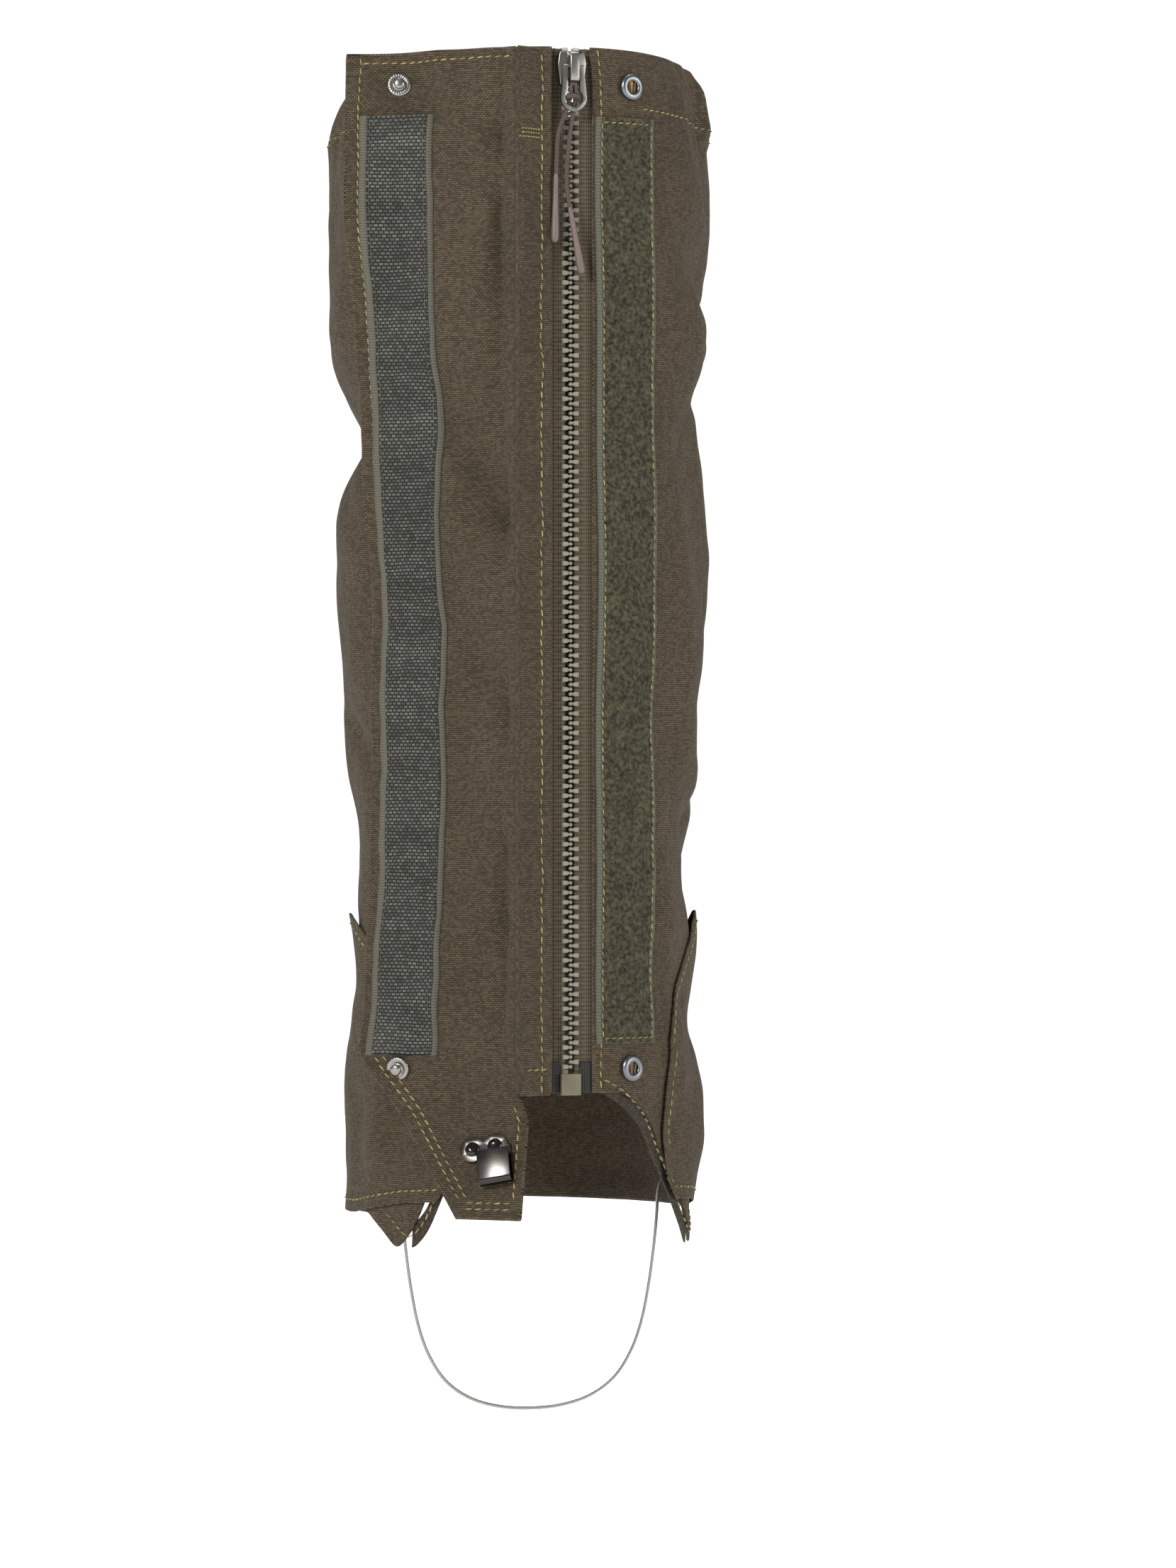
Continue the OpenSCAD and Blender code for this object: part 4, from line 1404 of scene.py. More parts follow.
# ---------------------------------------------------------------- sleeve


@dataclass
class Sleeve:
    """Body cloth, casing, elastic, guard, facings and their stitches."""

    palette: Palette
    thickness: float = 0.8
    columns: int = 150
    rows: int = 190

    def build(self) -> None:
        """Builds every cloth piece of the sleeve and its stitches."""
        self.half("flap_side_cloth", -1, "flap_side_panel")
        self.half("loop_side_cloth", 1, "loop_side_panel")
        self.casing()
        self.guard()
        for side in (-1, 1):
            self.facing(side)
        self.stitches()

    def half(self, name: str, side: int, node: str) -> None:
        """One panel, from beside the zip to the back seam.

        Its columns run from the cloth's edge 9 mm beside the zip to the back, evenly spaced in angle.
        Its rows run from the hem to the rim. A turned hem makes both edges thicker.

        Args:
            name: name of the piece.
            side: -1 for the flap's side and 1 for the loop tape's.
            node: the CAD node that it stands for.
        """
        share = np.linspace(0, 1, self.columns)[:, None]
        up = np.linspace(0, 1, self.rows)[None, :]
        t_rough = 180.0 * share
        low, high = SLEEVE.hem(t_rough), SLEEVE.rim(t_rough)
        z = low + (high - low) * up
        edge = SLEEVE.angle_at(CLOTH_EDGE, z)
        t = side * (edge + (180.0 - edge) * share)
        turned = 0.5 * np.exp(-(((z - low) / 7.0) ** 4)) * smooth_step(share, 0.0, 0.02)
        obj = sleeve_slab(name, t, z, 0.0, -self.thickness - turned)
        obj = dress(obj, Body.GAITER, self.palette.body, [node])

    def casing(self) -> None:
        """Inner layer of the rim's hem, and the elastic between it and the body cloth."""
        t = np.linspace(14, 346, 300)[:, None]
        down = (CASING + 0.5) * (1 - np.linspace(0, 1, 14)[None, :] ** 1.3)
        z = SLEEVE.rim(t) - down
        lean = np.exp(-down / 1.6)
        obj = sleeve_slab("casing_cloth", t, z, -1.5 + 0.62 * lean, -2.3 + 0.62 * lean)
        dress(obj, Body.GAITER, self.palette.inside, ["top_casing"])
        t = np.linspace(42, 318, 220)[:, None]
        z = SLEEVE.rim(t) - CASING * np.linspace(0.92, 0.2, 6)[None, :]
        obj = sleeve_slab("casing_elastic", t, z, -0.9, -1.4)
        dress(obj, Body.GAITER, self.palette.elastic, ["top_elastic"])

    @staticmethod
    def guard_top(t: Points) -> Points:
        """Top edge of the guard, with an ear at each side.

        Args:
            t: angles in degrees.

        Returns:
            Heights in millimetres.
        """
        angle = wrapped(t)
        right = [(42, 68), (50, 89), (60, 102), (76, 119), (81, 119), (92, 110), (180, 106)]
        left = [(42, 68), (52, 84), (76, 100), (99, 118), (104, 118), (114, 109), (180, 106)]
        return np.where(angle < 0, soft_lookup(-angle, left, 1.6), soft_lookup(angle, right, 1.6))

    @staticmethod
    def guard_hem(t: Points) -> Points:
        """Lower edge of the guard: level, a little above the body cloth's hanging corner."""
        side = np.abs(wrapped(t))
        return np.maximum(SLEEVE.hem(t) - 0.6, soft_lookup(side, [(42, 6), (60, 4.5), (84, -0.6)], 3.0))

    def guard_lift(self, t: Points, z: Points) -> Points:
        """How far the guard stands off the body cloth: its ears and its front edge curl outwards.

        Args:
            t: angles in degrees.
            z: heights.

        Returns:
            Millimetres.
        """
        angle = wrapped(t)
        middle = np.where(angle < 0, 101.0, 78.0)
        ear = np.exp(-(((np.abs(angle) - middle) / 7.0) ** 2)) * smooth_step(z, 92.0, 120.0) * 2.8
        front = np.exp(-((np.abs(angle) - 42.0) / 3.5)) * 0.6
        hem = 0.8 * np.exp(-((z + 4.0) / 14.0))
        return ear + front + np.minimum(hem, 1.2)

    def guard(self) -> None:
        """Second layer of cloth round the ankle and the heel."""
        t = np.linspace(42, 318, 260)[:, None]
        up = np.linspace(0, 1, 60)[None, :]
        low = self.guard_hem(t)
        z = low + (self.guard_top(t) - low) * up
        lift = self.guard_lift(t, z)
        obj = sleeve_slab("ankle_guard_cloth", t, z, 1.15 + lift, 0.25 + lift)
        dress(obj, Body.GAITER, self.palette.guard, ["ankle_guard"])

    def facing(self, side: int) -> None:
        """Facing sewn inside the arch over the laces, on one side.

        Args:
            side: -1 for the left and 1 for the right.
        """
        t = side * np.linspace(13, 56, 60)[:, None]
        z = SLEEVE.hem(t) - 0.3 + np.linspace(0, 9.5, 8)[None, :]
        word = "left" if side < 0 else "right"
        obj = sleeve_slab(f"instep_facing_{word}_cloth", t, z, -1.4, -2.2)
        dress(obj, Body.GAITER, self.palette.inside, [f"instep_facing_{word}"])

    def stitches(self) -> None:
        """Rows beside the zip, along the casing, the hem, the arch and the guard, and at the back seam."""
        rows = Stitches()
        z = np.linspace(ZIP_FOOT + 1, RIM - 1.5, 400)
        rows.row(*sleeve_row(SLEEVE.angle_at(12.4, z), z, 0.15))
        for start, end in ((24.0, 180.0), (-24.0, -180.0)):
            t = np.linspace(start, end, 300)
            rows.row(*sleeve_row(t, SLEEVE.rim(t) - CASING, 0.12), pitch=3.4)
        for side in (-1, 1):
            t = side * np.linspace(11.5, 43, 90)
            rows.row(*sleeve_row(t, SLEEVE.hem(t) + 5.0, 0.15))
            t = side * np.linspace(43, 180, 240)
            z = self.guard_hem(t) + 4.5
            rows.row(*sleeve_row(t, z, 1.3 + self.guard_lift(t, z)))
            t = side * np.linspace(43, 66, 60)
            rows.row(*sleeve_row(t, SLEEVE.hem(t) + 4.0, 0.15))
            t = side * np.linspace(43, 180, 240)
            rows.row(*sleeve_row(t, self.guard_top(t) - 4.0, 1.3 + self.guard_lift(t, self.guard_top(t) - 4)))
            z = np.linspace(26.0, 66.0, 60)
            rows.row(*sleeve_row(side * 45.2, z, 1.6))
            z = np.linspace(110.0, 438.0, 300)
            rows.row(*sleeve_row(side * 177.5, z, 0.15))
        rows.build("sleeve_stitches", Body.GAITER, "body_cloth", self.palette.thread)


# ---------------------------------------------------------------- storm flap


@dataclass
class StormFlap:
    """Root strip, flap cloth, hook tape, studs and lace hook."""

    palette: Palette
    half_thickness: float = 0.9
    tape_start: float = 35.0
    tape_width: float = 28.0

    def build(self) -> None:
        """Builds every piece of the flap."""
        self.root()
        self.cloth()
        self.hook_tape()
        self.studs()
        self.lace_hook()

    def root(self) -> None:
        """Double strip from the zip's side to the crease, and the folded roll on the crease itself.

        Across, the strip follows a smooth curve through given points. Near its stitches the
        cloth puckers, as seeded noise along its height.
        """
        spine = smooth_route(
            [
                (-9, -73.1, 0), (-11.4, -73.15, 0), (-14, -73.9, 0), (-18, -76.4, 0), (-22, -78.7, 0),
                (-23.6, -79.2, 0),
            ],
            6,
        )
        z = np.linspace(ZIP_FOOT - 0.4, RIM - 1.2, 260)[:, None]
        across = spine[:, :2][None]
        tangent = unit(np.gradient(spine[:, :2], axis=0))
        out = np.stack([-tangent[:, 1], tangent[:, 0]], -1)[None]
        out = out * np.sign(-out[..., 1:2] + 1e-9)
        run = np.linspace(0, 16.5, len(spine))[None, :]
        pucker = 0.45 * ripple(run * 0.5, z, 83, 13.0) * np.exp(-(((run - 5.0) / 4.5) ** 2))
        pucker = pucker + 0.35 * ripple(run, z, 85, 34.0) * smooth_step(16.5 - run, 0.0, 4.0)
        flat = across + out * pucker[..., None]
        half = 0.85

        def layer(off: float) -> Points:
            """The strip moved off millimetres out of its middle."""
            place = flat + out * off
            return np.concatenate([place, np.broadcast_to(z[..., None], place.shape[:2] + (1,))], -1)

        uv = np.stack(np.broadcast_arrays(run, z), -1)
        obj = slab("flap_root_cloth", layer(half), layer(-half), uv)
        dress(obj, Body.GAITER, self.palette.flap, ["flap_root"])
        up = np.linspace(ZIP_FOOT, RIM - 1.3, 200)
        path = np.stack([np.full_like(up, CREASE[0]), np.full_like(up, CREASE[1]), up], -1)
        roll = sweep("flap_crease_roll", path, 1.02, 12, (0, 1, 0))
        dress(roll, Body.GAITER, self.palette.flap)
        rows = Stitches()
        line = layer(half + 0.12)
        face = np.broadcast_to(np.concatenate([out[0], np.zeros((len(spine), 1))], -1)[None], line.shape)
        column = 10
        rows.row(line[:, column], face[:, column])
        rows.row(line[6, 3:24], face[6, 3:24])
        for level in range(3):
            bar = 248 - 11 + level
            rows.row(line[bar, 12:30], face[bar, 12:30], pitch=1.5)
        rows.build("flap_root_stitches", Body.GAITER, "body_cloth", self.palette.thread)

    def grid(self, columns: int, rows: int) -> tuple[Points, Points]:
        """Reach and height on a grid that fills the flap's outline, with more rows in its tip.

        Args:
            columns: points across.
            rows: points up.

        Returns:
            Reach and height of each point.
        """
        up = np.linspace(0, 1, rows) ** 1.25
        z = (1.0 + (RIM - 2.5) * up)[:, None]
        low, high = FLAP.edges(z)
        share = np.linspace(0, 1, columns)[None, :]
        s = low + (high - low) * share
        slope = -1.6 * smooth_step(z, 380.0, 457.0) * (s / FLAP_WIDTH)
        return s, z + slope

    def cloth(self) -> None:
        """The flap's two layers of cloth as one closed sheet, and the rows of stitches round it."""
        s, z = self.grid(70, 260)
        half = self.half_thickness
        uv = np.stack(np.broadcast_arrays(s, z), -1)
        inner, outer = (FLAP.at(s, z, np.full(s.shape, off)) for off in (half, -half))
        obj = slab("flap_cloth", inner, outer, uv)
        dress(obj, Body.FLAP, self.palette.flap, ["flap_shell", "flap_facing"])
        rows = Stitches()
        up = np.linspace(67.0, RIM - 4.0, 400)
        rows.row(*flap_row(FLAP.edges(up)[1] - 4.2, up, half + 0.1), pitch=3.7)
        out = np.linspace(63.6, 3.0, 80)
        rows.row(*flap_row(out, RIM - 4.6 - 1.6 * out / FLAP_WIDTH, half + 0.1), pitch=3.7)
        low = np.linspace(65.5, 6.0, 90)
        for inset in (3.6, 6.0):
            rows.row(*flap_row(FLAP.edges(low)[1] - inset * 1.25, low + inset * 0.2, half + 0.1))
        for inset in (2.6, 5.0):
            rows.row(*flap_row(np.linspace(16.0, -5.0, 40), np.full(40, 1.6 + inset), half + 0.1))
        side = np.linspace(8.0, 44.0, 60)
        rows.row(*flap_row(FLAP.edges(side)[0] + 3.2, side, half + 0.1))
        rows.build("flap_stitches", Body.FLAP, "flap_cloth", self.palette.thread)

    def tape_strip(
        self, name: str, left: float, right: float, low: float, high: float, off: float, thick: float
    ) -> bpy.types.Object:
        """A straight strip on the flap's inner face, as a thin closed sheet.

        Args:
            name: name of the piece.
            left: reach of its crease side.
            right: reach of its free side.
            low: height of its lower end.
            high: height of its upper end.
            off: its distance off the cloth.
            thick: its thickness.

        Returns:
            The new object.
        """
        s = np.linspace(left, right, max(4, int((right - left) / 1.6)))[None, :]
        z = np.linspace(low, high, 230)[:, None]
        s, z = np.broadcast_arrays(s, z)
        uv = np.stack([s, z], -1)
        base = self.half_thickness
        upper = FLAP.at(s, z, np.full(s.shape, base + off + thick))
        under = FLAP.at(s, z, np.full(s.shape, base + off))
        return slab(name, upper, under, uv)

    def hook_tape(self) -> None:
        """Hook tape: a dark field of hooks between two ribbed selvedges, sewn all round."""
        left, right = self.tape_start, self.tape_start + self.tape_width
        low, high = 63.2, 432.0
        base = self.tape_strip("hook_tape_selvedges", left, right, low, high, 0.05, 0.55)
        dress(base, Body.FLAP, self.palette.selvedge, ["hook_tape"])
        hooks = self.tape_strip("hook_tape_hooks", left + 2.6, right - 2.9, low + 0.4, high - 0.4, 0.58, 0.75)
        dress(hooks, Body.FLAP, self.palette.hooks)
        rows = Stitches(0.5)
        top = self.half_thickness + 1.42
        z = np.linspace(low + 2.5, high - 2.5, 380)
        for s in (left + 3.4, right - 3.7):
            rows.row(*flap_row(s, z, top), pitch=3.4)
        s = np.linspace(left + 3.4, right - 3.7, 40)
        for z in (low + 2.5, high - 2.5):
            rows.row(*flap_row(s, z, top), pitch=3.0)
        rows.build("hook_tape_stitches", Body.FLAP, "hook_tape", self.palette.dark_thread)

    def studs(self) -> None:
        """Snap studs: a ring with radial flutes, a ball on a post, and a cap behind the cloth."""
        ring = [
            (1.5, 0.0), (4.6, 0.0), (4.75, 0.35), (4.6, 0.75), (4.1, 1.0), (3.2, 0.95), (2.5, 0.7),
            (2.1, 0.75),
        ]
        ball = [
            (2.05, 0.7), (1.75, 1.2), (1.7, 1.7), (2.1, 2.2), (2.25, 2.7), (2.0, 3.2), (1.3, 3.55), (0, 3.65),
        ]
        cap = [(0, -1.35), (2.4, -1.2), (3.9, -0.95), (4.7, -0.45), (4.8, 0.0), (0, 0.02)]
        front, back = [], []
        for z in SNAP_HEIGHTS:
            place = lathe_points(ring + ball[1:], 72)
            turn = np.arctan2(place[..., 1], place[..., 0])
            reach = np.hypot(place[..., 0], place[..., 1])
            fluted = np.exp(-(((reach - 3.7) / 0.75) ** 2)) * (place[..., 2] > 0.5)
            place[..., 2] += 0.2 * fluted * np.cos(24 * turn)
            tilt = 0.0 if z > 100 else -24.0
            front.append(on_flap(place, SNAP_REACH, z, self.half_thickness + 0.05, tilt))
            back.append(on_flap(lathe_points(cap, 48), SNAP_REACH, z, -self.half_thickness))
        dress(lathed("snap_stud_rings", front), Body.FLAP, self.palette.nickel, ["snap_studs"])
        obj = lathed("snap_stud_backs", back)
        dress(obj, Body.FLAP, self.palette.dark_nickel, ["snap_stud_caps"])

    def lace_hook(self) -> None:
        """The hook and its rivets keep their CAD shape, with rounded edges."""
        obj = rounded_copy("lace_hook_plate", "lace_hook", 0.28, 3)
        dress(obj, Body.FLAP, self.palette.dark_nickel, ["lace_hook"])
        obj = rounded_copy("lace_hook_rivet_heads", "lace_hook_rivets", 0.12, 2)
        dress(obj, Body.FLAP, self.palette.dark_nickel, ["lace_hook_rivets"])


def turned(place: Points, across: Points, up: Points, out: Points, origin: Points) -> Points:
    """Points of a part's own frame carried to axes across, up and out at an origin."""
    return origin + place[..., :1] * across + place[..., 1:2] * up + place[..., 2:3] * out


def on_flap(place: Points, s: float, z: float, off: float, tilt: float = 0.0) -> Points:
    """A part's points put on the flap with their Z out of the inner face, tilted about its height.

    Args:
        place: points in the part's own frame.
        s: reach from the crease.
        z: height.
        off: distance off the middle of the cloth.
        tilt: tilt in degrees.

    Returns:
        The points in the common frame.
    """
    out = FLAP.normal(s, z)
    if tilt:
        a = math.radians(tilt)
        side = unit(np.cross([0.0, 0.0, 1.0], out))
        out = unit(out * math.cos(a) + (side * 0.6 + np.array([0, 0, 0.8])) * math.sin(a))
    across = unit(np.cross([0.0, 0.0, 1.0], out))
    return turned(place, across, np.cross(out, across), out, FLAP.at(s, z, np.asarray(off)))


def on_sleeve(place: Points, x: float, z: float, off: float) -> Points:
    """A part's points put on the sleeve with their Z out of the cloth.

    Args:
        place: points in the part's own frame.
        x: distance to the side of the zip.
        z: height.
        off: distance off the cloth.

    Returns:
        The points in the common frame.
    """
    t = SLEEVE.angle_at(x, z)
    out = sleeve_normal(t, np.asarray(z, float))
    across = unit(np.cross([0.0, 0.0, 1.0], out))
    return turned(place, across, np.cross(out, across), out, SLEEVE.at(t, z, off))


def lathed(name: str, grids: Sequence[Points]) -> bpy.types.Object:
    """One piece from grids of turned profiles, each closed at its poles.

    Args:
        name: name of the piece.
        grids: one grid of points for each turned part.

    Returns:
        The new object.
    """
    points, faces = [], []
    count = 0
    for grid in grids:
        rows, columns = grid.shape[:2]
        points.append(grid.reshape(-1, 3))
        faces += grid_faces(rows, columns, count, closed=True).tolist()
        count += rows * columns
        if np.ptp(grid[0], axis=0).max() > 1e-6:
            faces.append(list(range(count - rows * columns, count - rows * columns + columns)))
    return make_mesh(name, np.concatenate(points), faces, weld=True, sharp=50.0)


# ---------------------------------------------------------------- zip


@dataclass
class Zip:
    """Tapes, teeth and end parts of the zip."""

    palette: Palette
    pitch: float = 3.8
    reach: float = 12.4
    thickness: float = 4.6

    def build(self) -> None:
        """Builds every piece of the zip."""
        self.tapes()
        self.teeth()
        self.ends()

    def tapes(self) -> None:
        """Woven tapes with a thicker cord at the teeth and a raised rib where the slider's edge runs.

        Across a tape, the front stands forward by a bump at the cord and by a small one at the rib.
        """
        for side, word in ((-1, "left"), (1, "right")):
            x = np.concatenate([np.linspace(1.9, 4.2, 8), np.linspace(4.5, self.reach, 22)])[None, :]
            z = np.linspace(ZIP_FOOT, RIM - 0.6, 240)[:, None]
            x, z = np.broadcast_arrays(x, z)
            bead = 0.55 * np.exp(-(((x - 2.7) / 0.8) ** 2)) + 0.3 * np.exp(-(((x - 6.2) / 0.45) ** 2))
            front = np.stack([side * x, ZIP_Y - 0.35 - bead, z], -1)
            back = np.stack([side * x, ZIP_Y + 0.35 + bead * 0.8, z], -1)
            obj = slab(f"zip_tape_{word}_cloth", front, back, np.stack([x, z], -1))
            dress(obj, Body.GAITER, self.palette.zip_tape, [f"zip_tape_{word}"])

    def teeth(self) -> None:
        """Two columns of moulded teeth: a square root, a neck and a head past the middle."""
        outline = [
            (3.3, -0.95), (3.3, 0.95), (1.65, 0.95), (1.35, 0.8), (0.72, 0.42), (0.42, 0.42), (0.12, 0.74),
            (-0.32, 0.68), (-0.6, 0.3), (-0.6, -0.3), (-0.32, -0.68), (0.12, -0.74), (0.42, -0.42),
            (0.72, -0.42), (1.35, -0.8), (1.65, -0.95),
        ]
        shape, faces = extrusion(outline, self.thickness, 0.34)
        shape[:, 2] -= self.thickness / 2
        count = int((RIM - 3 - (ZIP_FOOT + 10)) / self.pitch)
        height = ZIP_FOOT + 10 + self.pitch * np.arange(count)
        for side, word in ((-1, "left"), (1, "right")):
            z = height + (0.0 if side < 0 else self.pitch / 2)
            place = np.stack([np.zeros(count), np.full(count, ZIP_Y), z], -1)
            axes = np.broadcast_to(np.array([[side, 0, 0], [0, 0, side], [0, -1, 0]], float), (count, 3, 3))
            # the outline's Z points forwards, so the middle axis keeps the copy right-handed
            own = np.stack([height, height], -1)
            obj = scatter(f"zip_teeth_{word}_moulded", shape, faces, place, axes, own)
            dress(obj, Body.GAITER, self.palette.teeth, [f"zip_teeth_{word}"])

    def ends(self) -> None:
        """Retaining box, pin and top stops keep their CAD shapes, with rounded edges, and the end film is
        drawn anew as two strips.
        """
        parts = [
            ("zip_box_moulded", "zip_box", 0.5, "zip_plastic", self.palette.box),
            ("zip_pin_moulded", "zip_pin", 0.2, "zip_plastic", self.palette.box),
            ("zip_top_stops_moulded", "zip_top_stops", 0.25, "stop_plastic", self.palette.stop),
        ]
        for name, node, radius, slot, material in parts:
            dress(rounded_copy(name, node, radius, 3), Body.GAITER, material, [node])
        self.film()

    def film(self) -> None:
        """Stiff woven film on the tapes' lower ends, one strip beside each side of the box."""
        grids = []
        for side in (-1, 1):
            x = side * np.linspace(4.3, 10.4, 8)[None, :]
            z = np.linspace(ZIP_FOOT - 0.2, ZIP_FOOT + 12.0, 12)[:, None]
            x, z = np.broadcast_arrays(x, z)
            front = np.stack([x, np.full(x.shape, ZIP_Y - 1.05), z], -1)
            back = front + np.array([0.0, 0.35, 0.0])
            word = "left" if side < 0 else "right"
            grids.append(slab(f"zip_end_film_{word}", front, back, np.stack([x, z], -1)))
        dress(grids[0], Body.GAITER, self.palette.film, ["zip_end_film"])
        dress(grids[1], Body.GAITER, self.palette.film)


@dataclass
class LoopTape:
    """Loop tape on the body cloth, with its pile, selvedges, stitches and the snap sockets."""

    palette: Palette
    left: float = 10.6
    right: float = 36.6
    low: float = 68.0
    high: float = 432.0
    strands: int = 9000

    def build(self) -> None:
        """Builds the tape, its pile and the sockets."""
        self.strip("loop_tape_selvedges", 0.0, 1.0, 0.05, 0.75, self.palette.loop_edge, ["loop_tape"])
        self.strip("loop_tape_ground", 0.1, 0.945, 0.5, 1.1, self.palette.pile, [])
        self.pile()
        rows = Stitches(0.5)
        z = np.linspace(self.low + 2, self.high - 2, 380)
        for share in (0.095, 0.94):
            rows.row(*sleeve_row(self.angle(share, z), z, 1.15), pitch=3.5)
        share = np.linspace(0.1, 0.94, 40)
        for z in (self.low + 2, self.high - 2):
            rows.row(*sleeve_row(self.angle(share, z), z, 1.3), pitch=3.2)
        rows.build("loop_tape_stitches", Body.GAITER, "loop_pile", self.palette.thread)
        self.sockets()

    def angle(self, share: Points, z: Points) -> Points:
        """Angle round the sleeve at a share of the tape's width, with a slight wander along its length."""
        wander = 0.7 * ripple(np.asarray(z, float) * 0.0, np.asarray(z, float), 91, 120.0, 1.0, 5)
        return SLEEVE.angle_at(self.left + (self.right - self.left) * share + wander, z)

    def strip(
        self, name: str, start: float, end: float, low: float, high: float, material: bpy.types.Material,
        replaces: Sequence[str],
    ) -> None:
        """A strip of the tape between two shares of its width and two distances off the cloth.

        Args:
            name: name of the piece.
            start: share of the tape's width at its left.
            end: the same at its right.
            low: distance of its back off the cloth.
            high: the same of its face.
            material: its finish.
            replaces: the CAD nodes that it stands for.
        """
        share = np.linspace(start, end, 18)[None, :]
        z = np.linspace(self.low, self.high, 220)[:, None]
        share, z = np.broadcast_arrays(share, z)
        t = self.angle(share, z)
        uv = np.stack([share * (self.right - self.left), z], -1)
        obj = slab(name, SLEEVE.at(t, z, high), SLEEVE.at(t, z, low), uv)
        dress(obj, Body.GAITER, material, replaces)

    def pile(self) -> None:
        """Thousands of short leaning fibres, each a bent three-sided spike.

        Their feet are spread by seeded random numbers, and they lean in patches, by smooth noise.
        """
        rng = np.random.default_rng(7)
        share = rng.uniform(0.1, 0.945, self.strands)
        z = rng.uniform(self.low + 0.8, self.high - 0.8, self.strands)
        t = self.angle(share, z)
        foot = SLEEVE.at(t, z, 0.95)
        out = sleeve_normal(t, z)
        up = np.array([0.0, 0.0, 1.0])
        side = unit(np.cross(up, out))
        lean_x = 0.9 * ripple(share * 26, z, 97, 9.0) + rng.normal(0, 0.5, self.strands)
        lean_z = 0.9 * ripple(share * 26, z, 98, 9.0) - 0.3 + rng.normal(0, 0.5, self.strands)
        length = rng.uniform(0.7, 1.25, self.strands)[:, None]
        tip = unit(out * 0.8 + side * lean_x[:, None] + up * lean_z[:, None])
        wide = unit(np.cross(tip, out))
        axes = np.stack([wide * 0.16, unit(np.cross(wide, tip)) * 0.16, tip * length], 1)
        ring = np.array([[math.cos(a), math.sin(a)] for a in (0.0, 2.0944, 4.1888)])
        shape = np.concatenate(
            [
                np.column_stack([ring, np.zeros(3)]), np.column_stack([ring * 0.8, np.full(3, 0.6)]),
                [[0, 0, 1]],
            ]
        )
        faces = grid_faces(2, 3, closed=True).tolist() + [[3, 4, 6], [4, 5, 6], [5, 3, 6], [2, 1, 0]]
        own = rng.uniform(0, 900, (self.strands, 2))
        obj = scatter("loop_tape_pile", shape, faces, foot, axes, own)
        dress(obj, Body.GAITER, self.palette.pile)

    def sockets(self) -> None:
        """Snap sockets: a rolled steel ring, a brass-coloured well and two spring wires across its mouth."""
        ring = [
            (2.35, -0.2), (2.35, 1.3), (2.6, 1.75), (3.3, 2.05), (4.3, 1.95), (4.95, 1.5), (5.25, 0.8),
            (5.25, 0.2), (4.9, -0.2),
        ]
        well = [(0, 0.1), (2.2, 0.15), (2.45, 0.5), (2.5, 1.2), (2.36, 1.2), (2.3, 0.6), (0, 0.5)]
        post = [(0, -2.9), (3.6, -2.8), (4.5, -2.4), (4.6, -1.9), (1.5, -1.7), (1.5, 0.4), (0, 0.4)]
        rings, wells, posts, springs = [], [], [], []
        for z in SNAP_HEIGHTS:
            rings.append(on_sleeve(lathe_points(ring + ring[:1], 64), SNAP_X, z, 0.35))
            wells.append(on_sleeve(lathe_points(well, 40), SNAP_X, z, 0.35))
            posts.append(on_sleeve(lathe_points(post, 40), SNAP_X, z, 0.35))
            for x in (-1.15, 1.15):
                run = np.linspace(-2.3, 2.3, 9)
                path = np.stack([x + 0.25 * np.sin(run * 0.7) * np.sign(x), run, np.full(9, 1.15)], -1)
                bars, faces, _ = tube_parts(path, 0.26, 8, (0, 0, 1))
                springs.append((on_sleeve(bars, SNAP_X, z, 0.35), faces))
        obj = lathed("snap_socket_rings", rings)
        dress(obj, Body.GAITER, self.palette.satin, ["snap_sockets"])
        dress(lathed("snap_socket_wells", wells), Body.GAITER, self.palette.brass)
        obj = lathed("snap_socket_backs", posts)
        dress(obj, Body.GAITER, self.palette.satin, ["snap_socket_posts"])
        obj = make_mesh("snap_socket_springs", *joined(springs), weld=True)
        dress(obj, Body.GAITER, self.palette.satin)


# ---------------------------------------------------------------- slider and pull


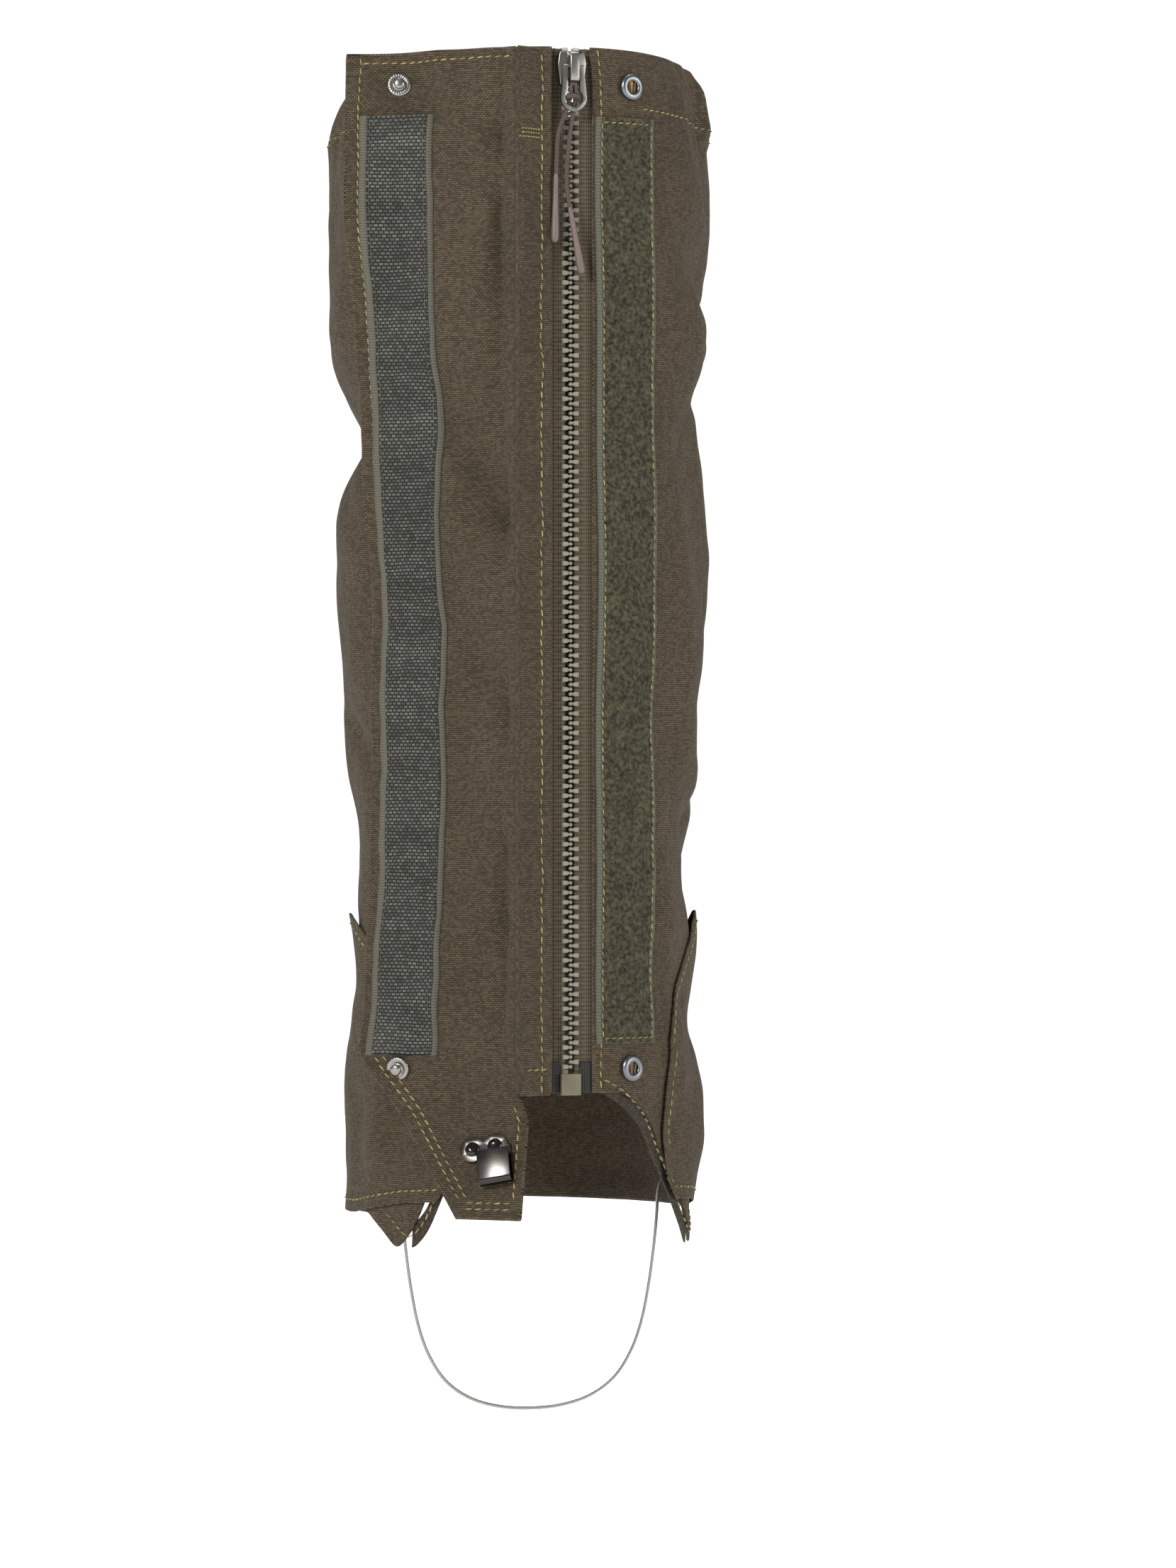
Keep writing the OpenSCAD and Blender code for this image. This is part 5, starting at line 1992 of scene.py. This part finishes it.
@dataclass
class Pull:
    """Slider, pull tab, and the braided cord with its two moulded tips."""

    palette: Palette
    cord_d: float = 1.8
    left_route: Route = (
        (-1.3, -73.85, 438.4), (-1.4, -73.5, 437.3), (-1.7, -73.25, 436.2), (-2.3, -73.2, 434.4),
        (-3.4, -73.25, 431.6), (-4.8, -73.3, 428.4), (-5.8, -73.4, 424.6), (-6.3, -73.6, 420),
        (-6.6, -73.9, 414.6), (-6.9, -74.3, 409),
    )
    right_route: Route = (
        (1.3, -73.85, 438.4), (1.2, -73.5, 437.3), (1, -73.25, 436.2), (0.6, -73.2, 434.2),
        (0, -73.25, 430.8), (-0.7, -73.3, 426.4), (-1.6, -73.4, 420), (-2.2, -73.5, 413), (-2.4, -73.7, 406),
        (-2, -74, 400.4), (-1.2, -74.3, 396),
    )
    left_end: tuple = (-7.6, -75.2, 382)
    right_end: tuple = (3.4, -75.2, 370)

    def build_cords(self) -> None:
        """The two legs of the cord, with their tips."""
        for word, route, end in (
            ("left", self.left_route, self.left_end),
            ("right", self.right_route, self.right_end),
        ):
            tip = self.tip(word, route[-1], end)
            path = smooth_route(route, 8)
            obj = sweep(f"pull_cord_{word}_braid", path, self.cord_d / 2, 14, (0, 1, 0))
            dress(obj, Body.PULL, self.palette.cord, [f"pull_cord_{word}"])

    def tip(self, word: str, start: Sequence[float], end: Sequence[float]) -> bpy.types.Object:
        """Moulded teardrop on a cord's end: its radius grows along it and rounds off at the end.

        Args:
            word: left or right.
            start: the cord's end.
            end: the tip's own end.

        Returns:
            The new object.
        """
        rounding = 1 - 0.1 * (1 - np.sin(np.linspace(0.2, math.pi / 2, 8)))
        share = np.concatenate([np.linspace(0, 0.9, 16), rounding])
        path = np.array(start) + share[:, None] * (np.array(end) - np.array(start))
        body = np.interp(share, [0, 0.03, 0.4, 0.7, 0.86, 0.92], [0.8, 0.98, 1.08, 1.42, 1.56, 1.5])
        cap = np.sqrt(np.clip(1 - (np.clip(share - 0.93, 0, 1) / 0.07) ** 2, 0.0, 1))
        obj = sweep(f"cord_tip_{word}_moulded", path, np.maximum(body * cap, 0.05), 20, (0, 1, 0))
        return dress(obj, Body.PULL, self.palette.rubber, [f"cord_tip_{word}"])

    def build_hardware(self) -> None:
        """Slider and tab keep their CAD shapes with rounded edges, and the cord's hitch is braided."""
        for name, node, radius, material in (
            ("slider_front_plate", "slider_front", 0.34, self.palette.nickel),
            ("slider_back_plate", "slider_back", 0.3, self.palette.nickel),
        ):
            obj = rounded_copy(name, node, radius, 3)
            dress(obj, Body.SLIDER, material, [node])
        obj = rounded_copy("pull_tab_plate", "pull_tab", 0.42, 3)
        dress(obj, Body.PULL, self.palette.nickel, ["pull_tab"])
        self.hitch()

    def hitch(self) -> None:
        """Lark's head in the ring: two strands up the slot, a bight over them, and two turns below."""
        x = self.cord_d / 2 + 0.12
        loop: Route = (
            (-x, -74.3, 438.6), (-x, -75.2, 440.6), (-x, -75.1, 442.6), (-x * 0.9, -75.1, 443.8),
            (-x * 0.4, -75.1, 444.5), (x * 0.4, -75.1, 444.5), (x * 0.9, -75.1, 443.8),
            (x, -75.1, 442.6), (x, -75.2, 440.6), (x, -74.3, 438.6),
        )
        path = smooth_route(loop, 6)
        strands = sweep("pull_cord_hitch_strands", path, self.cord_d / 2 * 0.96, 12, (0, 1, 0))
        dress(strands, Body.PULL, self.palette.cord, ["pull_cord_hitch"])
        turn: Route = (
            (-2.3, -74.6, 439.2), (-2.0, -75.6, 439.6), (-1.0, -76.3, 439.8), (0.4, -76.4, 439.7),
            (1.6, -75.9, 439.5), (2.3, -75.0, 439.2),
        )
        wrap = sweep("pull_cord_hitch_turn", smooth_route(turn, 6), self.cord_d / 2, 12, (0, 0, 1))
        dress(wrap, Body.PULL, self.palette.cord)


# ---------------------------------------------------------------- stirrup


@dataclass
class Stirrup:
    """Steel wire under the boot's arch, its ferrules, and the eyelets and tabs that hold it."""

    palette: Palette
    wire_d: float = 1.4
    strands: int = 6
    lay_mm: float = 9.0
    side: tuple = (
        (63.4, 14), (60, 14), (56.9, 12.9), (54.5, 10), (53.3, 5), (52.6, -5), (51.3, -18), (49.3, -32),
        (46.4, -46), (42, -58), (35, -68.4), (25, -75.4), (13, -79),
    )

    def route(self) -> list:
        """The wire's route from the left ferrule to the right one.

        Returns:
            Points in millimetres.
        """
        left = [(-x, WIRE_PLANE, z) for x, z in self.side]
        right = [(x, WIRE_PLANE, z) for x, z in reversed(self.side)]
        return left + [(0.0, WIRE_PLANE, -80.0)] + right

    def build_wire(self) -> None:
        """Stranded wire: six strands laid in a helix round the route, with a core inside.

        Strand k lies at radius r from the route, at the angle 2 pi (run / lay + k / 6).
        """
        path = smooth_route(self.route(), 8)
        run = run_along(path)
        stops = np.linspace(0, run[-1], 340)
        middle = points_at(stops, run, path)
        ahead = unit(np.gradient(middle, axis=0))
        steady = np.array([0.0, 1.0, 0.0])
        across = unit(np.cross(steady, ahead))
        up = np.cross(ahead, across)
        strand_r = self.wire_d / 6
        strands, uvs = [], []
        for k in range(self.strands + 1):
            turn = 2 * math.pi * (stops / self.lay_mm + k / self.strands)
            reach = 0.0 if k == self.strands else self.wire_d / 2 - strand_r
            line = middle + reach * (np.cos(turn)[:, None] * across + np.sin(turn)[:, None] * up)
            points, faces, uv = tube_parts(line, strand_r * 1.04, 6, (0, 1, 0))
            strands.append((points, faces))
            uvs.append(uv)
        obj = make_mesh("stirrup_wire_strands", *joined(strands), np.concatenate(uvs))
        dress(obj, Body.STIRRUP, self.palette.steel, ["stirrup_wire"])

    def build_holders(self) -> None:
        """Ferrules, eyelets and tabs keep their CAD shapes, in better materials."""
        for node, material, slot, body, radius in (
            ("stirrup_eyelets", self.palette.dark_nickel, "black_nickel", Body.GAITER, 0.12),
            ("stirrup_tabs", self.palette.inside, "tab_webbing", Body.GAITER, 0.3),
        ):
            obj = rounded_copy(f"{node}_finished", node, radius, 2)
            dress(obj, body, material, [node])
        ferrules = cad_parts["stirrup_ferrules"]
        ferrules.data.materials.clear()
        ferrules.data.materials.append(self.palette.steel)


def main() -> None:
    """Builds the studio, then the cords, then every sub-assembly in turn."""
    logging.basicConfig(level=logging.INFO, format="%(message)s")
    studio = Studio()
    studio.build_camera()
    palette = Palette()
    pull = Pull(palette)
    pull.build_cords()
    stirrup = Stirrup(palette)
    stirrup.build_wire()
    pull.build_hardware()
    stirrup.build_holders()
    Sleeve(palette).build()
    StormFlap(palette).build()
    Zip(palette).build()
    LoopTape(palette).build()
    studio.build_light()
    studio.build_floor()


if __name__ == "__main__":
    main()
